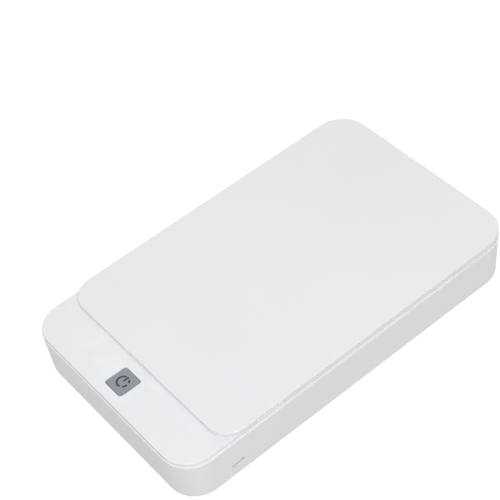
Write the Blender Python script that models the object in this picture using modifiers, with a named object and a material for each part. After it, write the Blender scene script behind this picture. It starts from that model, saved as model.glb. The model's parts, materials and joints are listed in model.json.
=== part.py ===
# UV disinfection box: a shallow hinged box that holds a telephone between two UV-C lamps.
# Metres, +Z up, +Y to the rear where the lid is hinged, +X to the side with the charging port.
import math

import bmesh
import bpy
from mathutils import Matrix, Vector

for old in list(bpy.data.objects):
    bpy.data.objects.remove(old, do_unlink=True)

mm = 0.001

# Overall sizes of the body
body_length = 220.0 * mm
body_width = 130.0 * mm
housing_height = 28.4 * mm
corner_radius = 17.0 * mm
foot_proud = 1.0 * mm
wall = 2.0 * mm
floor_thickness = 2.0 * mm
bottom_round = 2.0 * mm
rim_round = 0.5 * mm
gap = 0.3 * mm
overrun = 2.0 * mm
weld_distance = 0.001 * mm
level_tolerance = 0.03 * mm
sharp_angle = math.radians(45.0)
round_profile = 0.5
corner_steps = 9
round_steps = 3

# Deck that closes the lower housing
deck_step_in = 0.5 * mm
deck_rise = 1.5 * mm
deck_edge_round = 0.5 * mm
deck_depth = 2.5 * mm
deck_skin = 0.9 * mm

# Chamber opening and its tray
chamber_side_strip = 12.5 * mm
chamber_front_strip = 30.0 * mm
chamber_rear_strip = 10.0 * mm
chamber_corner = 9.0 * mm
chamber_edge_round = 0.8 * mm
tray_wall = 1.2 * mm
tray_floor_height = 11.0 * mm
tray_floor_thickness = 1.2 * mm
tray_fillet = 3.0 * mm
rest_rib_side_room = 18.5 * mm
rest_rib_width = 3.0 * mm
rest_rib_height = 2.5 * mm
rest_rib_y_shares = (0.16, 0.39, 0.61, 0.84)

# Lid
lid_front_strip = 24.9 * mm
lid_side_overhang = 0.5 * mm
lid_thickness = 2.5 * mm
lid_front_radius = 13.8 * mm
lid_top_round = 0.8 * mm
lid_rim_width = 2.2 * mm
lid_skin = 1.3 * mm
notch_from_lid_front = 28.6 * mm
notch_length = 20.0 * mm
notch_depth = 1.8 * mm
notch_skin = 0.7 * mm
ring_clearance = 1.0 * mm
ring_rear_clearance = 3.0 * mm
ring_width = 7.0 * mm
ring_drop = 2.2 * mm
ring_round = 0.8 * mm
panel_thickness = 0.6 * mm
panel_corner = 5.0 * mm
magnet_length = 12.0 * mm
magnet_width = 4.0 * mm
magnet_thickness = 1.0 * mm

# Hinge of the lid
hinge_set_in = 4.5 * mm
hinge_drop = 6.7 * mm
barrel_radius = 2.7 * mm
arm_half_width = 29.7 * mm
web_rear = 1.6 * mm
pin_radius = 1.2 * mm
pin_in_arm = 5.0 * mm
bracket_end_wall = 4.0 * mm
bracket_wall = 1.0 * mm
bracket_floor = 1.2 * mm
ear_length = 8.0 * mm
ear_thickness = 2.0 * mm
ear_set_in = 0.3 * mm
barrel_steps = 20

# Lamps, their holders and reflectors
lamp_end_room = 20.0 * mm
lamp_radius = 3.0 * mm
lamp_glass = 0.6 * mm
lamp_from_wall = 5.3 * mm
lamp_below_tray_top = 7.6 * mm
cap_radius = 4.0 * mm
cap_length = 9.0 * mm
cap_grip = 6.0 * mm
saddle_length = 7.0 * mm
saddle_side = 0.7 * mm
clip_width = 5.0 * mm
clip_sheet = 0.5 * mm
reflector_radius = 8.0 * mm
reflector_sheet = 0.4 * mm
reflector_set_in = 0.3 * mm
reflector_half_angle = math.radians(50.0)
reflector_end_gap = 1.0 * mm
lead_radius = 0.6 * mm
lead_hole_radius = 1.2 * mm
lead_drop_out = 5.0 * mm
lead_bend = 2.0 * mm
lead_run_height = 6.4 * mm
lead_spacing = 2.6 * mm
lamp_steps = 20

# Screws and bosses
boss_radius = 3.4 * mm
deck_boss_radius = 3.0 * mm
boss_split_height = 16.0 * mm
boss_tray_gap = 1.3 * mm
boss_corner_reach = 8.0 * mm
boss_rear_set_in = 30.0 * mm
screw_shank_radius = 1.2 * mm
screw_head_radius = 2.5 * mm
screw_head_height = 1.5 * mm
screw_recess = 2.5 * mm
screw_reach = 8.2 * mm
post_radius = 2.5 * mm
post_side_room = 22.5 * mm
post_y_shares = (0.12, 0.5, 0.88)
floor_rib_width = 1.2 * mm
floor_rib_height = 2.0 * mm
small_shank_radius = 0.9 * mm
small_head_radius = 1.9 * mm
small_head_height = 1.2 * mm
small_screw_reach = 4.0 * mm
screw_tip_share = 0.6
screw_edge_share = 0.4
hole_steps = 16
merge_distance = 0.01 * mm

# Rubber feet
foot_radius = 5.0 * mm
foot_height = 1.7 * mm
foot_side_set_in = 17.0 * mm
foot_end_set_in = 20.0 * mm
foot_round = 0.4 * mm

# Main board and what stands on it
board_height = 7.6 * mm
board_thickness = 1.6 * mm
board_left_set_in = 17.0 * mm
board_right_set_in = 13.0 * mm
board_front_set_in = 2.4 * mm
board_tray_gap = 2.3 * mm
tongue_right_gap = 0.8 * mm
tongue_before_port = 15.3 * mm
tongue_behind_port = 5.7 * mm
tongue_left_gap = 1.5 * mm
board_post_radius = 2.4 * mm
board_screw_inset = 3.2 * mm
usb_from_front = 31.3 * mm
usb_width = 7.5 * mm
usb_height = 2.6 * mm
usb_depth = 6.0 * mm
usb_recess = 0.8 * mm
usb_corner = 0.8 * mm
usb_sheet = 0.35 * mm
usb_mouth_depth = 4.5 * mm
usb_tongue_height = 0.6 * mm
usb_tongue_width = 4.6 * mm
transformer_size = Vector((11.0, 11.0, 7.0)) * mm
transformer_window = 6.0 * mm
transformer_web = 2.0 * mm
transformer_from_left = 14.1 * mm
transformer_spacing = 11.6 * mm
transformer_from_front = 10.6 * mm
capacitor_radius = 3.0 * mm
capacitor_height = 7.0 * mm
capacitor_from_right = 30.0 * mm
capacitor_spacing = 8.0 * mm
capacitor_from_front = 13.6 * mm
capacitor_round = 0.5 * mm
chip_size = Vector((7.0, 5.0, 1.5)) * mm
chip_from_right = 26.0 * mm
chip_from_front = 4.6 * mm
connector_size = Vector((7.0, 5.5, 5.5)) * mm
connector_side_set_in = 21.5 * mm
connector_set_in = 2.5 * mm
header_size = Vector((10.0, 2.5)) * mm
header_set_in = 2.0 * mm

# Button and its switch
button_width = 12.7 * mm
button_length = 12.9 * mm
button_corner = 1.2 * mm
button_from_front = 13.1 * mm
button_proud = 0.1 * mm
button_round = 0.25 * mm
button_flange = 1.0 * mm
button_flange_height = 1.5 * mm
button_travel = 0.5 * mm
stem_radius = 2.0 * mm
stem_length = 2.0 * mm
switch_size = 6.0 * mm
switch_height = 3.4 * mm
plunger_radius = 1.6 * mm
plunger_proud = 1.2 * mm
plunger_in_body = 1.2 * mm
symbol_radius = 3.5 * mm
symbol_stroke = 0.7 * mm
symbol_depth = 0.2 * mm
symbol_bar_start = 0.3 * mm
symbol_bar_end = 3.4 * mm
symbol_break = math.radians(31.0)
symbol_steps = 18
button_board_width = 27.0 * mm
button_board_before = 7.1 * mm
button_board_behind = 12.4 * mm
button_board_thickness = 1.2 * mm
button_post_x = 11.0 * mm
button_post_radius = 2.0 * mm
reed_radius = 1.1 * mm
reed_length = 12.0 * mm
reed_lead_radius = 0.3 * mm
reed_lead_length = 3.0 * mm
reed_set_in = 2.0 * mm

# Places worked out from the sizes above
half_width = body_width / 2
half_length = body_length / 2
chamber_half_width = half_width - chamber_side_strip
chamber_front = -half_length + chamber_front_strip
chamber_rear = half_length - chamber_rear_strip
housing_bottom = foot_proud
housing_top = housing_bottom + housing_height
floor_top = housing_bottom + floor_thickness
inner_half_width = half_width - wall
inner_half_length = half_length - wall
deck_top = housing_top + deck_rise
deck_edge_bottom = housing_top + gap
deck_under = deck_top - deck_depth
deck_half_width = half_width - deck_step_in
deck_half_length = half_length - deck_step_in
plug_inset = wall + gap
tray_top = deck_under - gap
tray_under = tray_floor_height - tray_floor_thickness
tray_half_width = chamber_half_width + tray_wall
tray_front = chamber_front - tray_wall
chamber_length = chamber_rear - chamber_front
rest_rib_half_length = chamber_half_width - rest_rib_side_room
post_x = chamber_half_width - post_side_room
chamber_centre_y = (chamber_front + chamber_rear) / 2
lid_under = deck_top + gap
lid_top = lid_under + lid_thickness
lid_half_width = half_width + lid_side_overhang
lid_front = -half_length + lid_front_strip
lid_rear = half_length
lid_inside = lid_top - lid_skin
notch_centre_y = lid_front + notch_from_lid_front
liner_top = lid_inside - gap
liner_inset = lid_rim_width + gap
ring_bottom = lid_under - ring_drop
ring_top = lid_under - gap
ring_half_width = chamber_half_width - ring_clearance
ring_front = chamber_front + ring_clearance
ring_rear = chamber_rear - ring_rear_clearance
ring_corner = chamber_corner - ring_clearance
window_half_width = ring_half_width - ring_width
window_front = ring_front + ring_width
window_rear = ring_rear - ring_width
hinge_y = half_length - hinge_set_in
hinge_z = deck_top - hinge_drop
notch_front = hinge_y - barrel_radius - gap
notch_half_width = arm_half_width + gap
notch_floor = hinge_z - barrel_radius - gap
bracket_half_width = notch_half_width + bracket_end_wall
bracket_rear = inner_half_length - gap
bracket_front = notch_front - bracket_wall
bracket_top = deck_under - gap
ear_places = [side * (bracket_half_width + ear_length / 2) for side in (-1, 1)]
ear_y = (bracket_front + bracket_rear) / 2
small_screw_grip = deck_depth - deck_skin
lamp_x = chamber_half_width - lamp_from_wall
lamp_height = tray_top - lamp_below_tray_top
lamp_half_length = chamber_length / 2 - lamp_end_room
cap_outer = lamp_half_length - cap_grip + cap_length
saddle_centre = cap_outer - cap_length / 2
saddle_top = lamp_height - gap
saddle_ys = [chamber_centre_y + end * saddle_centre for end in (-1, 1)]
lead_hole_ys = [chamber_centre_y + end * (cap_outer + lead_drop_out) for end in (-1, 1)]
foot_x = half_width - foot_side_set_in
foot_y = half_length - foot_end_set_in
board_left = -inner_half_width + board_left_set_in
board_right = inner_half_width - board_right_set_in
board_front = -inner_half_length + board_front_set_in
board_top = board_height + board_thickness
board_rear = tray_front - board_tray_gap
usb_y = -half_length + usb_from_front
tongue_front = usb_y - tongue_before_port
tongue_rear = usb_y + tongue_behind_port
tongue_right = inner_half_width - tongue_right_gap
tongue_left = tray_half_width + tongue_left_gap
parts_on_board = board_top + gap
transformer_x = [board_left + transformer_from_left + i * transformer_spacing for i in (0, 1)]
transformer_y = board_front + transformer_from_front
capacitor_x = [board_right - capacitor_from_right + i * capacitor_spacing for i in (0, 1)]
capacitor_y = board_front + capacitor_from_front
connector_x = inner_half_width - connector_side_set_in
button_y = -half_length + button_from_front
button_board_front = button_y - button_board_before
button_board_rear = button_y + button_board_behind
button_top = deck_top + button_proud
button_seat = deck_under - gap
button_bottom = button_seat - button_flange_height
stem_bottom = button_bottom - stem_length
plunger_top = stem_bottom
switch_top = plunger_top - plunger_proud
switch_bottom = switch_top - switch_height
button_board_top = switch_bottom - gap
button_board_bottom = button_board_top - button_board_thickness
screw_seat = housing_bottom + screw_recess + screw_head_height
boss_side_x = tray_half_width + boss_radius + boss_tray_gap
boss_front_x = half_width - corner_radius + boss_corner_reach
boss_front_y = -half_length + corner_radius - boss_corner_reach
boss_places = [(side * x, y) for side in (-1, 1) for x, y in (
    (boss_front_x, boss_front_y), (boss_side_x, half_length - boss_rear_set_in))]
board_screw_places = [
    (board_left + board_screw_inset, board_front + board_screw_inset),
    (board_right - board_screw_inset, board_front + board_screw_inset),
    (tongue_right - board_screw_inset, tongue_front + board_screw_inset)]
button_screw_places = [(-button_post_x, button_y), (button_post_x, button_y)]

parts = bpy.data.collections.new("uv_disinfection_box")
cutters = bpy.data.collections.new("cutters")
for made in (parts, cutters):
    bpy.context.scene.collection.children.link(made)
cutters.hide_render = True


def material(name, colour, roughness, metallic=0.0, transmission=0.0):
    """Principled material from a colour, a roughness and a metallic value."""
    made = bpy.data.materials.new(name)
    made.use_nodes = True
    shader = made.node_tree.nodes["Principled BSDF"]
    shader.inputs["Base Color"].default_value = (*colour, 1.0)
    shader.inputs["Roughness"].default_value = roughness
    shader.inputs["Metallic"].default_value = metallic
    shader.inputs["Transmission Weight"].default_value = transmission
    made.diffuse_color = (*colour, 1.0)
    made.roughness = roughness
    made.metallic = metallic
    return made


finishes = {
    "white_abs": material("white_abs", (0.80, 0.81, 0.83), 0.38),
    "inner_white": material("inner_white", (0.86, 0.86, 0.87), 0.45),
    "button_grey": material("button_grey", (0.27, 0.30, 0.34), 0.42),
    "satin_mirror": material("satin_mirror", (0.62, 0.64, 0.66), 0.22, 1.0),
    "aluminium": material("aluminium", (0.78, 0.79, 0.80), 0.25, 1.0),
    "steel": material("steel", (0.55, 0.56, 0.58), 0.32, 1.0),
    "quartz": material("quartz", (0.92, 0.90, 0.97), 0.05, 0.0, 0.8),
    "cap_ceramic": material("cap_ceramic", (0.85, 0.84, 0.80), 0.55),
    "board_green": material("board_green", (0.03, 0.20, 0.09), 0.45),
    "ferrite": material("ferrite", (0.06, 0.06, 0.07), 0.60),
    "black_plastic": material("black_plastic", (0.03, 0.03, 0.035), 0.50),
    "ivory_plastic": material("ivory_plastic", (0.75, 0.70, 0.58), 0.50),
    "lead_white": material("lead_white", (0.78, 0.78, 0.76), 0.55),
    "rubber": material("rubber", (0.05, 0.05, 0.055), 0.80),
}


def tidy(shape, target=None):
    """Write a bmesh to a mesh with doubles merged and normals facing out."""
    target = target or bpy.data.meshes.new("solid")
    bmesh.ops.remove_doubles(shape, verts=shape.verts, dist=weld_distance)
    bmesh.ops.recalc_face_normals(shape, faces=shape.faces)
    shape.to_mesh(target)
    shape.free()
    return target


def arc(centre_x, centre_y, radius, start, end, steps):
    """Points on an arc, angles in degrees."""
    angles = [math.radians(start + (end - start) * i / steps) for i in range(steps + 1)]
    return [(centre_x + radius * math.cos(a), centre_y + radius * math.sin(a)) for a in angles]


def rounded_loop(half, front, rear, front_radius, rear_radius, steps=corner_steps):
    """Outline of a plate about x = 0 with its own corner radius at the front and at the rear."""
    return (arc(half - rear_radius, rear - rear_radius, rear_radius, 0, 90, steps)
            + arc(-half + rear_radius, rear - rear_radius, rear_radius, 90, 180, steps)
            + arc(-half + front_radius, front + front_radius, front_radius, 180, 270, steps)
            + arc(half - front_radius, front + front_radius, front_radius, 270, 360, steps))


def inset_loop(half, front, rear, front_radius, rear_radius, inset, steps=corner_steps):
    """The same outline moved inwards all round."""
    return rounded_loop(half - inset, front + inset, rear - inset,
                        front_radius - inset, rear_radius - inset, steps)


def rounded_box_loop(x, y, width, height, radius, steps=round_steps):
    """Outline of a box about a point, with equal corner radii."""
    return [(x + dx, y + dy) for dx, dy in rounded_loop(width / 2, -height / 2, height / 2,
                                                        radius, radius, steps)]


def slab(loops, low, high, frame=Matrix()):
    """Flat outline with any holes, filled and extruded from low to high along the frame's Z."""
    curve = bpy.data.curves.new("outline", "CURVE")
    curve.dimensions = "2D"
    curve.fill_mode = "BOTH"
    curve.extrude = (high - low) / 2
    for loop in loops:
        spline = curve.splines.new("POLY")
        spline.points.add(len(loop) - 1)
        for point, (x, y) in zip(spline.points, loop):
            point.co = (x, y, 0, 1)
        spline.use_cyclic_u = True
    holder = bpy.data.objects.new("outline", curve)
    flat = bpy.data.meshes.new_from_object(holder)
    flat.transform(frame @ Matrix.Translation((0, 0, (low + high) / 2)))
    shape = bmesh.new()
    shape.from_mesh(flat)
    bpy.data.objects.remove(holder)
    bpy.data.curves.remove(curve)
    return tidy(shape, flat)


# A frame whose flat outlines lie in the YZ plane and are extruded along X, and one for XZ along Y
along_x = Matrix(((0, 0, 1, 0), (1, 0, 0, 0), (0, 1, 0, 0), (0, 0, 0, 1)))
along_y = Matrix(((1, 0, 0, 0), (0, 0, -1, 0), (0, 1, 0, 0), (0, 0, 0, 1)))


def block(x_low, x_high, y_low, y_high, z_low, z_high):
    """Box between two corners."""
    shape = bmesh.new()
    bmesh.ops.create_cube(shape, size=1)
    size = Vector((x_high - x_low, y_high - y_low, z_high - z_low))
    centre = Vector((x_high + x_low, y_high + y_low, z_high + z_low)) / 2
    bmesh.ops.transform(shape, matrix=Matrix.Translation(centre) @ Matrix.Diagonal((*size, 1)),
                        verts=shape.verts)
    return tidy(shape)


def centred_block(x, y, z_low, size):
    """Box that stands on z_low with its middle at x and y."""
    return block(x - size[0] / 2, x + size[0] / 2, y - size[1] / 2, y + size[1] / 2,
                 z_low, z_low + size[2])


def rod(radius, start, end, steps=hole_steps, end_radius=None):
    """Cylinder or cone between two points."""
    start, end = Vector(start), Vector(end)
    shape = bmesh.new()
    bmesh.ops.create_cone(shape, cap_ends=True, segments=steps, radius1=radius,
                          radius2=radius if end_radius is None else end_radius,
                          depth=(end - start).length)
    turn = (end - start).to_track_quat("Z", "Y").to_matrix().to_4x4()
    bmesh.ops.transform(shape, matrix=Matrix.Translation((start + end) / 2) @ turn,
                        verts=shape.verts)
    return tidy(shape)


def wire(points, radius):
    """Round wire along points, with closed ends."""
    curve = bpy.data.curves.new("wire", "CURVE")
    curve.dimensions = "3D"
    curve.bevel_depth = radius
    curve.bevel_resolution = 2
    curve.use_fill_caps = True
    spline = curve.splines.new("POLY")
    spline.points.add(len(points) - 1)
    for point, place in zip(spline.points, points):
        point.co = (*place, 1)
    holder = bpy.data.objects.new("wire", curve)
    tube = bpy.data.meshes.new_from_object(holder)
    shape = bmesh.new()
    shape.from_mesh(tube)
    bpy.data.objects.remove(holder)
    bpy.data.curves.remove(curve)
    return tidy(shape, tube)


def together(meshes):
    """Several solids as one mesh."""
    shape = bmesh.new()
    for mesh in meshes:
        shape.from_mesh(mesh)
        bpy.data.meshes.remove(mesh)
    merged = bpy.data.meshes.new("solids")
    shape.to_mesh(merged)
    shape.free()
    return merged


def part(name, mesh, finish, pivot=None):
    """Named object in the parts collection, with its origin on its pivot if it has one."""
    mesh.name = name
    made = bpy.data.objects.new(name, mesh)
    mesh.materials.append(finishes[finish])
    if pivot:
        mesh.transform(Matrix.Translation(-pivot.location))
        made.parent = pivot
    parts.objects.link(made)
    return made


def change(target, kind, mesh, name):
    """Boolean of kind DIFFERENCE or UNION with a mesh kept as a hidden cutter."""
    tool = bpy.data.objects.new(f"{target.name}_{name}", mesh)
    if target.parent:
        mesh.transform(Matrix.Translation(-target.parent.location))
        tool.parent = target.parent
    tool.display_type = "WIRE"
    tool.hide_render = True
    cutters.objects.link(tool)
    boolean = target.modifiers.new(name, "BOOLEAN")
    boolean.operation = kind
    boolean.solver = "EXACT"
    boolean.object = tool


def cut(target, mesh, name):
    change(target, "DIFFERENCE", mesh, name)


def fuse(target, mesh, name):
    change(target, "UNION", mesh, name)


def round_level(mesh, height, radius, steps=round_steps):
    """Round the sharp edges of a solid that lie at one height, before it becomes a part."""
    shape = bmesh.new()
    shape.from_mesh(mesh)
    edges = [e for e in shape.edges if len(e.link_faces) == 2 and e.calc_face_angle() > sharp_angle
             and all(abs(v.co.z - height) < level_tolerance for v in e.verts)]
    bmesh.ops.bevel(shape, geom=edges, offset=radius, segments=steps,
                    profile=round_profile, affect="EDGES", clamp_overlap=True)
    return tidy(shape, mesh)


def pivot(name, place):
    """Empty on a joint's axis that carries the moving pieces."""
    made = bpy.data.objects.new(name, None)
    made.location = place
    parts.objects.link(made)
    return made


lid_pivot = pivot("lid_pivot", Vector((0, hinge_y, hinge_z)))
button_pivot = pivot("button_pivot", Vector((0, button_y, button_top)))


def rear_edge_cutter():
    """Solid outside a round about the hinge axis, so that the lid's rear edge swings clear."""
    reach = hinge_drop + overrun
    profile = ([(hinge_y + y, hinge_z + z) for y, z in arc(0, 0, hinge_drop, 90, 0, barrel_steps)]
               + [(hinge_y + reach, hinge_z), (hinge_y + reach, hinge_z + reach),
                  (hinge_y, hinge_z + reach)])
    return slab([profile], -half_width - overrun, half_width + overrun, along_x)


def turned(name, profile, place, finish, steps=hole_steps, mesh=None):
    """Turned piece from a profile at +X that runs from its top to its foot."""
    if mesh is None:
        mesh = bpy.data.meshes.new(name)
        points = [(x, 0, z) for x, z in profile]
        mesh.from_pydata(points, [(i, i + 1) for i in range(len(points) - 1)], [])
        mesh.materials.append(finishes[finish])
    made = bpy.data.objects.new(name, mesh)
    made.location = place
    parts.objects.link(made)
    spin = made.modifiers.new("spin", "SCREW")
    spin.steps = steps
    spin.render_steps = steps
    spin.use_merge_vertices = True
    spin.merge_threshold = merge_distance
    return made


def screws(name, places, seat, reach, head, shank, height, point_down=False):
    """Identical pan head screws, one node each, with the head's bearing face at the seat."""
    profile = [(0, reach), (shank * screw_tip_share, reach), (shank, reach - shank), (shank, 0),
               (head, 0), (head, -height * screw_edge_share), (head * screw_tip_share, -height),
               (0, -height)]
    mesh = None
    for number, (x, y) in enumerate(places, 1):
        made = turned(f"{name}_{number}", profile, (x, y, seat), "steel", mesh=mesh)
        mesh = made.data
        if point_down:
            made.rotation_euler.x = math.pi


def lower_housing():
    """Bottom shell with its floor, posts, screw bosses, port slot and rear notch."""
    outline = (half_width, -half_length, half_length, corner_radius, corner_radius)
    outer = slab([rounded_loop(*outline)], housing_bottom, housing_top)
    outer = round_level(outer, housing_bottom, bottom_round)
    outer = round_level(outer, housing_top, rim_round, 2)
    shell = part("lower_housing", outer, "white_abs")
    hollow = slab([inset_loop(*outline, wall)], floor_top, housing_top + overrun)
    cut(shell, hollow, "hollow")

    bosses = [rod(boss_radius, (x, y, floor_top - gap), (x, y, boss_split_height))
              for x, y in boss_places]
    post_top = tray_under - gap
    posts = [rod(post_radius, (side * post_x, chamber_front + share * chamber_length,
                               floor_top - gap),
                 (side * post_x, chamber_front + share * chamber_length, post_top))
             for side in (-1, 1) for share in post_y_shares]
    board_posts = [rod(board_post_radius, (x, y, floor_top - gap), (x, y, board_height - gap))
                   for x, y in board_screw_places]
    ribs = [block(-post_x, post_x, y - floor_rib_width / 2, y + floor_rib_width / 2,
                  floor_top - gap, floor_top + floor_rib_height)
            for y in (chamber_front + share * chamber_length for share in post_y_shares)]
    fuse(shell, together(bosses + posts + board_posts), "bosses")
    fuse(shell, together(ribs), "ribs")

    recess_top = screw_seat + gap
    holes = [rod(screw_shank_radius + gap, (x, y, housing_bottom),
                 (x, y, boss_split_height + overrun)) for x, y in boss_places]
    recesses = [rod(screw_head_radius + gap, (x, y, housing_bottom - overrun), (x, y, recess_top))
                for x, y in boss_places]
    pilots = [rod(small_shank_radius + gap, (x, y, floor_top), (x, y, board_height + overrun))
              for x, y in board_screw_places]
    feet = [rod(foot_radius + gap, (sx * foot_x, sy * foot_y, housing_bottom - overrun),
                (sx * foot_x, sy * foot_y, foot_height + gap), 2 * hole_steps)
            for sx in (-1, 1) for sy in (-1, 1)]
    cut(shell, together(holes + pilots), "holes")
    cut(shell, together(recesses + feet), "recesses")

    slot = slab([rounded_box_loop(usb_y, parts_on_board + usb_height / 2,
                                  usb_width + 2 * gap, usb_height + 2 * gap, usb_corner + gap)],
                inner_half_width - overrun, half_width + overrun, along_x)
    cut(shell, slot, "port_slot")
    notch = block(-notch_half_width, notch_half_width, inner_half_length - overrun,
                  half_length + overrun, notch_floor, housing_top + overrun)
    cut(shell, notch, "hinge_notch")
    cut(shell, rear_edge_cutter(), "rear_round")
    return shell


def upper_deck():
    """Cover with the chamber's opening, the button's opening, screw bosses and switch posts."""
    outline = (deck_half_width, -deck_half_length, deck_half_length,
               corner_radius - deck_step_in, corner_radius - deck_step_in)
    plate = slab([rounded_loop(*outline)], deck_edge_bottom, deck_top)
    plate = round_level(plate, deck_top, deck_edge_round, 2)
    deck = part("upper_deck", plate, "white_abs")
    body = (half_width, -half_length, half_length, corner_radius, corner_radius)
    plug = slab([inset_loop(*body, plug_inset)], deck_under, deck_edge_bottom + deck_rise / 2)
    fuse(deck, plug, "plug")
    bosses = [rod(deck_boss_radius, (x, y, boss_split_height + gap), (x, y, deck_under + gap))
              for x, y in boss_places]
    posts = [rod(button_post_radius, (x, y, button_board_top + gap), (x, y, deck_under + gap))
             for x, y in button_screw_places]
    fuse(deck, together(bosses + posts), "bosses")

    opening = slab([rounded_loop(chamber_half_width, chamber_front, chamber_rear,
                                 chamber_corner, chamber_corner)],
                   deck_under - overrun, deck_top)
    shape = bmesh.new()
    shape.from_mesh(opening)
    tops = [f for f in shape.faces if f.calc_center_median().z > deck_top - gap]
    bmesh.ops.inset_region(shape, faces=tops, thickness=-chamber_edge_round, depth=0,
                           use_even_offset=True)
    for face in tops:
        for vertex in face.verts:
            vertex.co.z = deck_top + gap
    opening = tidy(shape, opening)
    cut(deck, opening, "chamber_opening")
    button_hole = slab([inset_loop(button_width / 2, button_y - button_length / 2,
                                   button_y + button_length / 2, button_corner, button_corner,
                                   -gap, round_steps)], deck_under - overrun, deck_top + overrun)
    cut(deck, button_hole, "button_hole")
    pilots = [rod(screw_shank_radius + gap, (x, y, boss_split_height - overrun),
                  (x, y, boss_split_height + gap + screw_reach + gap)) for x, y in boss_places]
    small = [rod(small_shank_radius + gap, (x, y, button_board_top - overrun),
                 (x, y, button_board_top + gap + small_screw_reach + gap))
             for x, y in button_screw_places]
    cut(deck, together(pilots + small), "pilot_holes")
    notch = block(-notch_half_width, notch_half_width, notch_front, half_length + overrun,
                  deck_under - overrun, deck_top + overrun)
    cut(deck, notch, "hinge_notch")
    ear_holes = [rod(small_shank_radius + gap, (x, ear_y, deck_under - overrun),
                     (x, ear_y, deck_under + small_screw_grip)) for x in ear_places]
    cut(deck, together(ear_holes), "bracket_holes")
    cut(deck, rear_edge_cutter(), "rear_round")
    return deck


def hinge_bracket():
    """Channel under the deck that carries both hinge pins, with an ear at each end."""
    outer = block(-bracket_half_width, bracket_half_width, bracket_front, bracket_rear,
                  notch_floor - bracket_floor, bracket_top)
    bracket = part("hinge_bracket", outer, "white_abs")
    ears = [block(min(side * (bracket_half_width - gap), side * (bracket_half_width + ear_length)),
                  max(side * (bracket_half_width - gap), side * (bracket_half_width + ear_length)),
                  bracket_front + ear_set_in, bracket_rear - ear_set_in,
                  bracket_top - ear_thickness, bracket_top) for side in (-1, 1)]
    fuse(bracket, together(ears), "ears")
    channel = block(-notch_half_width, notch_half_width, notch_front, bracket_rear + overrun,
                    notch_floor, bracket_top + overrun)
    cut(bracket, channel, "channel")
    pin_hole = rod(pin_radius + gap, (-bracket_half_width - overrun, hinge_y, hinge_z),
                   (bracket_half_width + overrun, hinge_y, hinge_z))
    screw_holes = [rod(small_shank_radius + gap, (x, ear_y, bracket_top - ear_thickness - overrun),
                       (x, ear_y, bracket_top + overrun)) for x in ear_places]
    cut(bracket, together([pin_hole] + screw_holes), "holes")
    seat = bracket_top - ear_thickness - gap
    screws("bracket_screw", [(x, ear_y) for x in ear_places], seat,
           deck_under + small_screw_grip - gap - seat,
           small_head_radius, small_shank_radius, small_head_height)
    for side, name in ((-1, "left"), (1, "right")):
        inner = side * (arm_half_width - pin_in_arm)
        outer_end = side * (bracket_half_width - gap)
        part(f"hinge_pin_{name}", rod(pin_radius, (inner, hinge_y, hinge_z),
                                      (outer_end, hinge_y, hinge_z)), "steel")


def chamber_tray():
    """Tub under the deck's opening, with rest ribs, lamp saddles and lead holes."""
    outline = (chamber_half_width, chamber_front, chamber_rear, chamber_corner, chamber_corner)
    tub = part("chamber_tray", slab([inset_loop(*outline, -tray_wall)], tray_under, tray_top),
               "inner_white")
    hollow = slab([rounded_loop(*outline)], tray_floor_height, tray_top + overrun)
    cut(tub, round_level(hollow, tray_floor_height, tray_fillet), "hollow")
    ribs = [block(-rest_rib_half_length, rest_rib_half_length, y - rest_rib_width / 2,
                  y + rest_rib_width / 2, tray_floor_height - gap,
                  tray_floor_height + rest_rib_height)
            for y in (chamber_front + share * chamber_length for share in rest_rib_y_shares)]
    saddle_inner = lamp_x - cap_radius - gap - saddle_side
    saddle_outer = chamber_half_width + gap
    saddles = [block(min(side * saddle_inner, side * saddle_outer),
                     max(side * saddle_inner, side * saddle_outer),
                     y - saddle_length / 2, y + saddle_length / 2,
                     tray_floor_height - gap, saddle_top)
               for side in (-1, 1) for y in saddle_ys]
    fuse(tub, together(ribs + saddles), "ribs_and_saddles")
    grooves = [rod(cap_radius + gap, (side * lamp_x, y - saddle_length, lamp_height),
                   (side * lamp_x, y + saddle_length, lamp_height), lamp_steps)
               for side in (-1, 1) for y in saddle_ys]
    lead_holes = [rod(lead_hole_radius, (side * lamp_x, y, tray_under - overrun),
                      (side * lamp_x, y, tray_floor_height + tray_fillet))
                  for side in (-1, 1) for y in lead_hole_ys]
    cut(tub, together(grooves + lead_holes), "grooves_and_holes")
    return tub


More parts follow.
